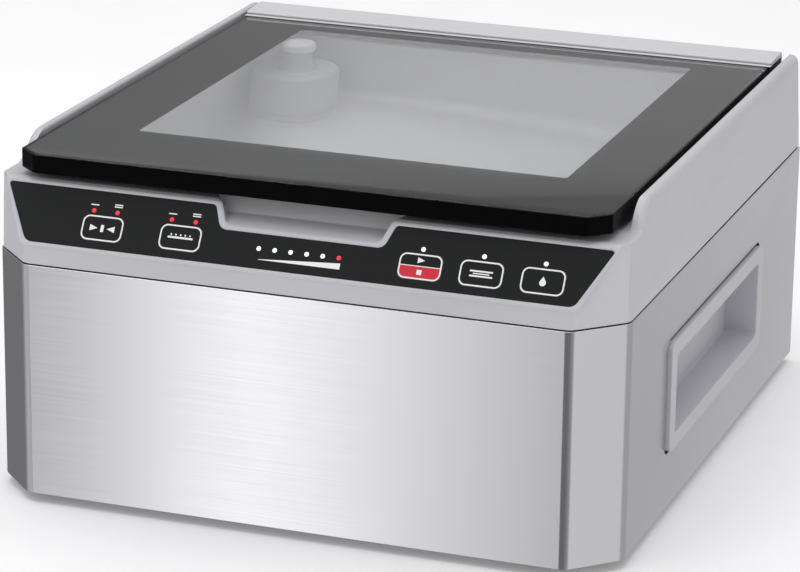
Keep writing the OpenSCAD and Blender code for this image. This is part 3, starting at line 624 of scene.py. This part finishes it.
# Rear flanges: reach from the side, front and rear face from the rear edge, lower and upper clearance
FLANGE_REACH = 18
FLANGE_FACES = (4.4, 3.2)
FLANGE_ENDS = (3.5, 2)


def plan(inset, rear_y, corner=CORNER):
    """The body's outline from above, with its two chamfered front corners."""
    w = HALF_W - inset
    front = -HALF_D + inset
    leg = corner - inset * LEG_SHIFT
    radius = max(BEND - inset, 1)
    return rounded([
        (-w, rear_y, 0), (-w, front + leg, radius), (-w + leg, front, radius),
        (w - leg, front, radius), (w, front + leg, radius), (w, rear_y, 0)
    ])


grip_low, grip_high = box_mm("grip_right")
GRIP_GAP = 2.1
GRIP_ROUND = 6


def grip_outline(grow):
    return round_rect(grip_low.y - grow, grip_low.z - grow, grip_high.y + grow,
                      grip_high.z + grow, GRIP_ROUND + grow)


def build_shell():
    """Bent sheet with the grip openings and a flange down each rear edge."""
    outer = plan(0, HALF_D)
    inner = plan(SHEET, HALF_D)
    band = outer + inner[::-1]
    shell = prism("shell", band, shell_low.z, shell_high.z, flat, MATERIALS["brushed_steel"])
    for sign in (-1, 1):
        cut(shell, prism("hole", grip_outline(GRIP_GAP), sign * (HALF_W - 8), sign * (HALF_W + 8), side))
        across = sorted((sign * (HALF_W - FLANGE_REACH), sign * (HALF_W - SHEET / 2)))
        low = (across[0], HALF_D - FLANGE_FACES[0], shell_low.z + FLANGE_ENDS[0])
        high = (across[1], HALF_D - FLANGE_FACES[1], shell_high.z - FLANGE_ENDS[1])
        weld(shell, box_solid("flange", low, high))
    bevelled(shell, 0.35, 2)
    place_piece(shell, "steel_wrap", replaces=["steel_wrap"])


# ---------- top casing ----------

casing_low, casing_high = box_mm("top_casing")
DECK = 200
BAY = 190.6
RIDGE_Y = BEZEL_TOP.y + (DECK - BEZEL_TOP.z) * math.tan(LEAN)
BEZEL_LEN = 35.8
# Hinge trough: front, rear and floor
TROUGH = (182, 212.7, 190)
TROUGH_HALF = 180
# Where the cheeks' curved step starts and ends
STEP_FOOT = -164.5
STEP_TOP = -153.5
WALL = 3
# Casing: inset from the shell, lean of the sides, and roundings of the cheeks
INSET = 0.8
SIDE_DRAFT = 2.2
CHEEK_ROUND = 4.2
CHEEK_DROP = 4.4
FRONT_ROUND = 7
BAY_ROUND = 2.1
CORNER_DRAFT = 2.6
# Finger recess: its place and its half widths at the top and the bottom
NOTCH_X = 1
NOTCH_TOP = 56.9
NOTCH_LOW = 51.4
NOTCH_DEPTH = 14.6
NOTCH_RISE = 12.8
NOTCH_LIP = 3.2
RECESS_BACK = -179
RECESS_CREASE = (-186, 191)
RECESS_SLOPE = 0.285
# Section of the bead round the membrane: (distance outward, height over the bezel)
BEAD = [
    (0.15, -0.5), (0.15, 0.1), (0.5, 0.42), (1.1, 0.6), (1.7, 0.6), (2.3, 0.42), (2.9, 0.08), (3.1, -0.5)
]


def casing_profile():
    """Side outline: front band, bezel, shelf, curved step, cheek and rear."""
    low = BEZEL_LEN + 2
    y_low = BEZEL_TOP.y - low * math.sin(LEAN)
    z_low = BEZEL_TOP.z - low * math.cos(LEAN)
    return rounded([
        (casing_low.y, casing_low.z, 0), (y_low, z_low, 2.5), (RIDGE_Y, DECK, 3.5),
        (STEP_FOOT, DECK, 5), (STEP_TOP, casing_high.z, 26), (casing_high.y, casing_high.z, 8),
        (casing_high.y, casing_low.z, 0)
    ], 12)


def membrane_outline(grow):
    """The printed overlay's outline on the bezel, stepped round the finger recess."""
    top, low = 190.9 + grow, 172 + grow
    n_top, n_low, n_deep = NOTCH_TOP - grow, NOTCH_LOW - grow, NOTCH_DEPTH - grow
    return rounded([
        (-top, -grow, 1.5), (-low, BEZEL_LEN + grow, 6), (low, BEZEL_LEN + grow, 6), (top, -grow, 1.5),
        (NOTCH_X + n_top, -grow, 3), (NOTCH_X + n_low, n_deep, 6), (NOTCH_X - n_low, n_deep, 6),
        (NOTCH_X - n_top, -grow, 3)
    ])


def notch_outline(inset):
    """Mouth of the finger recess, seen square to the bezel."""
    top, low, deep = NOTCH_TOP - inset, NOTCH_LOW - inset, NOTCH_DEPTH - inset
    return rounded([
        (NOTCH_X - top - 8, -NOTCH_RISE, 0), (NOTCH_X - top, 0, 3), (NOTCH_X - low, deep, 6),
        (NOTCH_X + low, deep, 6), (NOTCH_X + top, 0, 3), (NOTCH_X + top + 8, -NOTCH_RISE, 0)
    ])


def recess_z(y):
    """Height of the finger recess's sloping floor."""
    return RECESS_CREASE[1] + (y - RECESS_CREASE[0]) * RECESS_SLOPE


def drafted_plan():
    """Solid with the casing's plan, its front corners leaning inward toward the top."""
    low = [(x, y, casing_low.z - 1) for x, y in plan(INSET, casing_high.y + 1)]
    top_plan = plan(INSET, casing_high.y + 1, corner=CORNER + 1.414 * CORNER_DRAFT)
    high = [(x, y, casing_high.z + 1) for x, y in top_plan]
    return loft("plan", [low, high], MATERIALS["silver_plastic"], 30)


def inward_normals(outline):
    """Unit normals pointing into an outline given clockwise."""
    normals = []
    count = len(outline)
    for i in range(count):
        y0, z0 = outline[i - 1]
        y1, z1 = outline[(i + 1) % count]
        along = Vector((y1 - y0, z1 - z0)).normalized()
        normals.append((along.y, -along.x))
    return normals


def casing_blank():
    """Solid casing: leaning sides, with the upper outer edges of both cheeks rounded off."""
    outline = casing_profile()
    normals = inward_normals(outline)
    half_rings = []
    for sine, cosine in quarter(8):
        inward = CHEEK_ROUND * (1 - cosine)
        drop = 1 - sine
        ring = []
        for (y, z), (ny, nz) in zip(outline, normals):
            share = min(max((z - DECK - 0.5) / 7, 0), 1)
            share = share * share * (3 - 2 * share)
            facing = FRONT_ROUND if y < 0 else CHEEK_DROP
            depth = drop * share * math.hypot(CHEEK_DROP * nz, facing * ny)
            z_in = z + nz * depth
            lean = SIDE_DRAFT * (z_in - casing_low.z) / (casing_high.z - casing_low.z)
            ring.append((HALF_W - INSET - lean - inward, y + ny * depth, z_in))
        half_rings.append(ring)
    left = [[(-x, y, z) for x, y, z in ring] for ring in half_rings]
    return loft("casing", left + half_rings[::-1], MATERIALS["silver_plastic"], 30)


def bay_tool():
    """The space between the cheeks, flaring at the top to round their inner edges."""
    top = casing_high.z
    flare = [(BAY + BAY_ROUND * (1 - cosine), top - BAY_ROUND * (1 - sine)) for sine, cosine in quarter(6)]
    right = [(BAY, DECK)] + flare + [(BAY + BAY_ROUND, top + 10)]
    outline = right + [(-x, z) for x, z in right[::-1]]
    return prism("bay", outline, -190, casing_high.y + 5, rear)


def build_bead(material):
    """Rounded bead moulded round the membrane."""
    bm = bmesh.new()
    loops = add_loops(bm, [[bezel(u, v, w) for u, v in membrane_outline(grow)] for grow, w in BEAD])
    skin(bm, loops, closed=True)
    bead = finished("membrane_bead", bm, material)
    soften(bead, 50)
    place_piece(bead, "top_casing")


def casing_hollow():
    """The space under the bezel and deck, one wall inside the casing, less the recess's own wall."""
    y_in = BEZEL_TOP.y + WALL * math.cos(LEAN)
    z_in = BEZEL_TOP.z - WALL * math.sin(LEAN)
    low_z = casing_low.z + 11
    hollow = prism("hollow", [
        (casing_low.y + WALL, casing_low.z - 8), (y_in - (z_in - low_z) * math.tan(LEAN), low_z),
        (y_in + (DECK - WALL - z_in) * math.tan(LEAN), DECK - WALL), (TROUGH[0] - WALL, DECK - WALL),
        (TROUGH[0] - WALL, TROUGH[2] - WALL), (TROUGH[1], TROUGH[2] - WALL), (TROUGH[1], casing_low.z - 8)
    ], -HALF_W, HALF_W, side)
    overlap(hollow, prism("plan", plan(INSET + WALL, TROUGH[1]), casing_low.z - 8, DECK, flat))
    front_y = BEZEL_TOP.y - 10.5
    cut(hollow, prism("keep", [
        (front_y, recess_z(front_y) - WALL), (RECESS_CREASE[0], RECESS_CREASE[1] - WALL),
        (RECESS_BACK + WALL, RECESS_CREASE[1] - WALL), (RECESS_BACK + WALL, DECK + 5), (front_y, DECK + 5)
    ], -62, 64, side))
    return hollow


def recess_tool():
    """The finger recess: a sloping floor and an upright back, within the mouth on the bezel."""
    mouth_y = BEZEL_TOP.y - 30
    recess = prism("recess", rounded([
        (mouth_y, recess_z(mouth_y), 0), (*RECESS_CREASE, 2.5), (RECESS_BACK, DECK + 0.01, 0),
        (RECESS_BACK, DECK + 20, 0), (mouth_y, DECK + 20, 0)
    ]), -70, 72, side)
    overlap(recess, prism("mouth", notch_outline(NOTCH_LIP), -25, 20, bezel))
    return recess


def build_casing():
    casing = casing_blank()
    overlap(casing, drafted_plan())
    cut(casing, casing_hollow())
    cut(casing, bay_tool())
    trough_y0, trough_y1, trough_z = TROUGH
    cut(casing, box_solid("trough", (-TROUGH_HALF, trough_y0, trough_z), (TROUGH_HALF, trough_y1, DECK + 5)))
    tub_low, tub_high = tub_box()
    cut(casing, prism("opening", round_rect(
        tub_low.x - 2.4, tub_low.y - 2.4, tub_high.x + 2.4, tub_high.y + 2.4, 16.4
    ), 120, DECK + 5, flat))
    cut(casing, recess_tool())
    cut(casing, prism("pocket", membrane_outline(0.12), -0.6, 5, bezel))
    bevelled(casing, 0.8, 3, 38)
    place_piece(casing, "top_casing", replaces=["top_casing"])
    build_bead(MATERIALS["silver_plastic"])


# ---------- chamber ----------

TUB_ROUND = 14
FLOOR_ROUND = 9
RIM = 9
RIM_T = 1.5
LIP_ROUND = 2.5


def tub_box():
    """Inside of the chamber at its rim, from the CAD chamber's box."""
    low, high = box_mm("vacuum_chamber")
    return Vector((low.x + RIM, low.y + RIM, low.z + 2)), Vector((high.x - RIM, high.y - RIM, high.z))


def build_chamber():
    """Drawn tub: rounded floor and lip, a flat rim, and holes for the post and both pistons."""
    low, high = tub_box()
    top = high.z

    def ring(grow, z):
        return [(x, y, z) for x, y in round_rect(
            low.x - grow, low.y - grow, high.x + grow, high.y + grow, max(TUB_ROUND + grow, 2), 10)]

    rings = [
        ring(-FLOOR_ROUND * (1 - sine), low.z + FLOOR_ROUND * (1 - cosine)) for sine, cosine in quarter(8)
    ]
    rings += [ring(LIP_ROUND * (1 - cosine), top - LIP_ROUND * (1 - sine)) for sine, cosine in quarter(4)]
    rings += [ring(RIM - 0.6, top), ring(RIM, top - 0.5), ring(RIM, top - RIM_T)]
    rings += [ring(2, top - RIM_T), ring(2, low.z - 2)]
    tub = loft("chamber", rings, MATERIALS["chamber_steel"], 40)
    post = centre_of("suction_cap")
    cut(tub, prism("drain", circle(post.x, post.y, 8), low.z - 5, low.z + 5, flat))
    piston = box_mm("lift_pistons")
    x_piston = piston[1].x - 5
    y_piston = (piston[0].y + piston[1].y) / 2
    for sign in (-1, 1):
        cut(tub, prism("gland", circle(sign * x_piston, y_piston, 6), low.z - 5, low.z + 5, flat))
    soften(tub, 40)
    place_piece(tub, "vacuum_chamber", replaces=["vacuum_chamber"])


def centre_of(node):
    low, high = box_mm(node)
    return (low + high) / 2


def build_post():
    """Filter housing, neck and cap of the suction port."""
    axis = centre_of("suction_cap")
    centre = (axis.x, axis.y)
    low, high = box_mm("filter_housing")
    radius = (high.x - low.x) / 2
    floor = tub_box()[0].z
    shoulder = high.z
    profile = [(6.4, low.z), (6.4, 144), (7.9, 144), (7.9, floor), (radius, floor), (radius, floor + 3)]
    profile += [(radius - 0.8, floor + 3.6), (radius - 0.8, floor + 4.4), (radius, floor + 5)]
    profile += [(radius - 4 * (1 - cosine), shoulder - 4 * (1 - sine)) for sine, cosine in quarter(6)]
    profile += [(13.5, shoulder), (13.5, shoulder - 0.6), (0, shoulder - 0.6)]
    housing = revolve("filter_pot", profile, centre, MATERIALS["light_grey_plastic"])
    place_piece(housing, "filter_housing", replaces=["filter_housing"])
    neck_low, neck_high = box_mm("suction_neck")
    neck = [(13, neck_low.z - 0.5), (13, neck_low.z + 0.6), (11.2, neck_low.z + 1.6)]
    neck += [(10.2, neck_low.z + 3.4), (10, neck_low.z + 5), (10, neck_high.z - 1)]
    neck += [(9.4, neck_high.z), (0, neck_high.z)]
    place_piece(revolve("port_neck", neck, centre, MATERIALS["light_grey_plastic"]), "suction_neck",
                replaces=["suction_neck"])
    cap_low, cap_high = box_mm("suction_cap")
    cap = [(8, cap_low.z), (11.2, cap_low.z), (12, cap_low.z + 0.8), (12, cap_high.z - 2.6)]
    cap += [(12 - 2.6 * (1 - cosine), cap_high.z - 2.6 * (1 - sine)) for sine, cosine in quarter(5)[1:]]
    cap += [(5, cap_high.z), (4.2, cap_high.z - 0.6), (0, cap_high.z - 0.6)]
    place_piece(revolve("port_cap", cap, centre, MATERIALS["white_plastic"]), "suction_cap",
                replaces=["suction_cap"])


# ---------- lid ----------

glass_low, glass_high = box_mm("lid_glass")


def lid_outline(inset, rear_y):
    w = glass_high.x - inset
    front = glass_low.y + inset
    return rounded([
        (-w, rear_y, 1.5), (-w, front + 11, 4), (-w + 12.8, front, 4),
        (w - 12.8, front, 4), (w, front + 11, 4), (w, rear_y, 1.5)
    ])


COVER_FRONT = 178.7
COVER_SEAT = 216
# How far the glass stands inside the black rim
GLASS_EDGE = 0.5
# Bevel of the glass: (inset from its edge, distance up from its underside)
GLASS_FOOT = [(0.3, 0), (0, 0.3)]
# and (inset, distance down from its top)
GLASS_HEAD = [(0, 0.9), (0.25, 0.4), (0.7, 0.08), (1.2, 0)]
# Window: left, front, right and rear
WINDOW = (-137, -122, 138.5, 155)
HINGE_X = 120


def build_glass():
    steps = [(inset, glass_low.z + up) for inset, up in GLASS_FOOT]
    steps += [(inset, glass_high.z - down) for inset, down in GLASS_HEAD]
    glass = loft("glass_pane", [
        [(x, y, z) for x, y in lid_outline(GLASS_EDGE + inset, glass_high.y - GLASS_EDGE - inset)]
        for inset, z in steps
    ], MATERIALS["clear_glass"], 25)
    glass.visible_shadow = False
    place_piece(glass, "lid_glass", replaces=["lid_glass"])


def build_film():
    """Milky film under the window."""
    outline = round_rect(*WINDOW, 3)
    film = prism("window_film", outline, glass_low.z - 0.08, glass_low.z - 0.02, flat, WINDOW_FILM)
    film.visible_shadow = False
    place_piece(film, "lid_glass")


def gasket_groove(z):
    """Groove for the seal over the chamber's rim."""
    low, high = tub_box()
    outer = round_rect(low.x - 7.1, low.y - 7.1, high.x + 7.1, high.y + 7.1, 21)
    inner = round_rect(low.x - 1.9, low.y - 1.9, high.x + 1.9, high.y + 1.9, 16)
    groove = prism("groove", outer, z - 1, z + 2.6, flat)
    cut(groove, prism("land", inner, z - 2, z + 4, flat))
    return groove


def build_tray():
    """Black frame under the glass, with its rim, window, strip groove, gasket groove and hinge rooms."""
    frame_low, frame_high = box_mm("lid_frame")
    top = glass_low.z - 0.3
    tray = prism("lid_tray", lid_outline(0, 182), frame_low.z, top, flat, MATERIALS["black_gloss"])
    rim = prism("rim", lid_outline(0, glass_high.y), top - 1, glass_high.z - 0.8, flat)
    rim_room = lid_outline(GLASS_EDGE, glass_high.y - GLASS_EDGE)
    cut(rim, prism("rim_room", rim_room, top - 2, glass_high.z, flat))
    weld(tray, rim)
    weld(tray, box_solid("rear", (frame_low.x, glass_high.y + 0.6, top - 3), tuple(frame_high)))
    opening = round_rect(-150, -134, 150, 160, 8)
    cut(tray, prism("window", opening, frame_low.z - 1, glass_high.z + 5, flat))
    cut(tray, box_solid("strip_groove", (-152, -155, frame_low.z - 1), (152, -139, frame_low.z + 1)))
    for x in (-HINGE_X, HINGE_X):
        cut(tray, box_solid("hinge_room", (x - 18, 188, frame_low.z - 1), (x + 40, 206, 212)))
    cut(tray, gasket_groove(frame_low.z))
    bevelled(tray, 0.5, 3)
    place_piece(tray, "lid_frame", replaces=["lid_frame"])


def build_cover():
    """Strip over the hinge, with a thin lip on the glass and a turned-down rear."""
    low, high = box_mm("hinge_cover")
    y0, y1 = low.y, high.y
    lip_y = COVER_FRONT
    seat = COVER_SEAT
    cover = prism("rear_cover", rounded([
        (y0, seat, 0), (y0, seat + 0.5, 0.3), (lip_y + 1.2, seat + 0.5, 0), (lip_y + 1.2, seat + 1, 0),
        (lip_y, seat + 1, 0.3), (lip_y, 218.5, 1), (y1, high.z, 2.6), (y1, low.z, 0.6),
        (y1 - 1.6, low.z, 0.6), (y1 - 1.6, seat, 0)
    ]), low.x, high.x, side, MATERIALS["cover_plastic"])
    bevelled(cover, 0.35, 3)
    place_piece(cover, "hinge_cover", replaces=["hinge_cover"])


# ---------- side grips ----------

BAND_Y = 11
BAND_Z = 10
POCKET_WALL = 2


def build_grips():
    """Frame round each opening, with a pocket for the fingers behind it."""
    for sign, node in ((1, "grip_right"), (-1, "grip_left")):
        low, high = box_mm(node)
        outer_x = high.x if sign > 0 else low.x
        inner_x = (low.x if sign > 0 else high.x) + sign * POCKET_WALL
        grip = prism("side_" + node, grip_outline(0), sign * (HALF_W - 6), outer_x, side,
                     MATERIALS["silver_plastic"])

        def hole(grow):
            return round_rect(low.y + BAND_Y - grow, low.z + BAND_Z - grow, high.y - BAND_Y + grow,
                              high.z - BAND_Z + grow, 3 + grow)

        weld(grip, prism("tray", hole(POCKET_WALL), inner_x - sign * POCKET_WALL, sign * HALF_W, side))
        cut(grip, prism("pocket", hole(0), inner_x, outer_x + sign * 10, side))
        bevelled(grip, 0.9, 4)
        place_piece(grip, node, replaces=[node])


# ---------- control panel ----------

# Keys, lamps and dots: places across the bezel, and distances down its slope
KEY_X = [-124.5, -74, 76.7, 114, 151.3]
KEY_NODES = ["key_vacuum", "key_sealing", "key_auto_cancel", "key_seal", "key_marinate"]
KEY_S = 22.9
KEY_W = 26.5
KEY_H = 15.6
KEY_TOP = 0.15
LED_S = 12.3
LED_OFF = 7.65
DOT_S = 23.5
DOT_PITCH = 10.06
DOT_MID = 1.35
INK = 0.05
PANEL_TOP = -0.1
LENS_R = 1.45
LENS_RISE = 0.35


def printed(name, outline, base, body, material=None):
    """A patch of ink on the panel or on a key."""
    patch = prism(name, outline, base, base + INK, bezel, material or PRINT_WHITE)
    patch.data.shade_flat()
    return place_piece(patch, body=body)


def key_outline(x, inset):
    return round_rect(x - KEY_W / 2 + inset, KEY_S - KEY_H / 2 + inset, x + KEY_W / 2 - inset,
                      KEY_S + KEY_H / 2 - inset, 4.5 - inset)


def rect(x0, y0, x1, y1):
    return [(x0, y0), (x1, y0), (x1, y1), (x0, y1)]


def pictogram(kind, x, s):
    """Outlines of one wordless key symbol centred at x, s."""
    if kind == "press":
        return [[(x - 8, s - 2), (x - 3, s), (x - 8, s + 2)], rect(x - 1, s - 2.2, x + 1, s + 2.2),
                [(x + 8, s - 2), (x + 8, s + 2), (x + 3, s)]]
    if kind == "bar":
        ticks = [rect(x + dx - 0.45, s - 2.2, x + dx + 0.45, s - 1.2) for dx in (-6, -3, 0, 3, 6)]
        return [rect(x - 8, s - 0.6, x + 8, s + 0.6)] + ticks
    if kind == "run":
        return [[(x - 2, s - 1.8), (x + 2.4, s), (x - 2, s + 1.8)]]
    if kind == "stop":
        return [rect(x - 1.5, s - 1.5, x + 1.5, s + 1.5)]
    if kind == "seam":
        return [rect(x - 7, s - 2, x + 7, s - 1), rect(x - 7, s + 1, x + 7, s + 2),
                rect(x - 5, s - 0.35, x + 5, s + 0.35)]
    angles = [math.radians(degrees) for degrees in range(-20, 201, 20)]
    drop = [(x + 2 * math.cos(a), s + 0.8 + 2 * math.sin(a)) for a in angles]
    return [drop + [(x, s - 3)]]


def red_key_half(x, node):
    """Red lower half of a two-part key, and the line over it."""
    x0, x1 = x - KEY_W / 2 + 1, x + KEY_W / 2 - 1
    low_s = KEY_S + KEY_H / 2 - 1
    half = rounded([(x0, KEY_S, 0), (x1, KEY_S, 0), (x1, low_s, 3.5), (x0, low_s, 3.5)])
    printed("stop_field", half, KEY_TOP, BODY_OF[node], PRINT_RED)
    printed("field_line", rect(x0, KEY_S - 0.5, x1, KEY_S), KEY_TOP + 0.01, BODY_OF[node])


def build_keys():
    kinds = [["press"], ["bar"], ["run", "stop"], ["seam"], ["drop"]]
    for x, node, marks in zip(KEY_X, KEY_NODES, kinds):
        body = BODY_OF[node]
        ring = ring_prism(node + "_outline", key_outline(x, 0.1), key_outline(x, 1.0), KEY_TOP,
                          KEY_TOP + INK, bezel, PRINT_WHITE)
        place_piece(ring, body=body)
        if len(marks) == 2:
            red_key_half(x, node)
        for i, kind in enumerate(marks):
            shift = 0 if len(marks) == 1 else (-3.8, 3.4)[i]
            for j, outline in enumerate(pictogram(kind, x, KEY_S + shift)):
                printed(f"{node}_mark_{kind}_{j}", outline, KEY_TOP + 0.02, body)


def lamp(name, x, s, red):
    """Domed lamp lens, a little proud of the panel."""
    heights = [(LENS_R, PANEL_TOP - 0.2)]
    heights += [(max(LENS_R * cosine, 0.02), PANEL_TOP + LENS_RISE * sine) for sine, cosine in quarter(4)]
    slot = "lens_red" if red else "lens_white"
    rings = [[bezel(x + u, s + v, w) for u, v in circle(0, 0, radius, 24)] for radius, w in heights]
    lens = loft(name, rings, MATERIALS[slot], 50)
    place_piece(lens, body="base")


def build_panel():
    """Lamps over the keys, the row of dots and the printed marks."""
    for i in (0, 1):
        for sign in (-1, 1):
            x = KEY_X[i] + sign * LED_OFF
            lamp(f"lamp_red_{i}_{sign + 1}", x, LED_S, True)
            bars = 1 if sign < 0 else 2
            for k in range(bars):
                y = LED_S - 3.6 - k * 1.3
                mark = rect(x - 2.6, y - 0.35, x + 2.6, y + 0.35)
                printed(f"level_{i}_{sign + 1}_{k}", mark, PANEL_TOP, "base")
    for i in (2, 3, 4):
        lamp(f"lamp_white_{i}", KEY_X[i], LED_S, False)
    for i in range(6):
        lamp(f"lamp_step_{i}", DOT_MID + (i - 2.5) * DOT_PITCH, DOT_S, i == 5)
    wedge = [(-22.9, 29.9), (28.1, 26.6), (28.1, 30.3), (-22.9, 30.2)]
    printed("progress_wedge", wedge, PANEL_TOP, "base")


# ---------- rear and underside ----------

def wire_ring(name, centre, y, radius, wire, material, steps=64, tube=8):
    """Upright ring of round wire."""
    rings = []
    turns = [2 * math.pi * k / tube for k in range(tube)]
    for i in range(steps):
        a = 2 * math.pi * i / steps
        out = Vector((math.cos(a), 0, math.sin(a)))
        middle = Vector((centre[0], y, centre[1])) + out * radius
        rings.append([
            middle + out * wire * math.cos(b) + Vector((0, wire * math.sin(b), 0)) for b in turns
        ])
    bm = bmesh.new()
    skin(bm, add_loops(bm, rings), closed=True)
    obj = finished(name, bm, material)
    soften(obj, 60)
    return obj


def build_fan_guard():
    low, high = box_mm("fan_frame")
    centre = ((low.x + high.x) / 2, (low.z + high.z) / 2)
    panel = box_mm("back_panel")[1].y
    y = panel + 0.85
    for i, radius in enumerate((8, 16, 24, 32, 38)):
        ring = wire_ring(f"guard_ring_{i}", centre, y, radius, 0.75, MATERIALS["zinc_screw"])
        place_piece(ring, body="base")
    for i in range(4):
        a = math.radians(45 + 90 * i)
        points = [(5, -0.6), (40, -0.6), (41, 0), (40, 0.6), (5, 0.6)]
        outline = [
            (centre[0] + u * math.cos(a) - v * math.sin(a), centre[1] + u * math.sin(a) + v * math.cos(a))
            for u, v in points
        ]
        bar = prism(f"guard_bar_{i}", outline, panel + 0.05, panel + 0.8, rear, MATERIALS["zinc_screw"])
        bevelled(bar, 0.25, 2)
        place_piece(bar, body="base")


def build_floor():
    bm = bmesh.new()
    reach = 9
    corners = [bm.verts.new((x * reach, y * reach, 0)) for x, y in ((-1, -1), (1, -1), (1, 1), (-1, 1))]
    bm.faces.new(corners)
    mesh = bpy.data.meshes.new("floor")
    bm.to_mesh(mesh)
    bm.free()
    floor = new_object("floor", mesh, floor_paint())
    floor.visible_glossy = False


make_camera()
make_world()
make_lights()
bpy.context.scene.view_settings.view_transform = "Standard"
dress_cad_nodes()
build_shell()
build_casing()
build_chamber()
build_post()
build_glass()
build_film()
build_tray()
build_cover()
build_grips()
build_keys()
build_panel()
build_fan_guard()
build_floor()

bpy.context.view_layer.update()
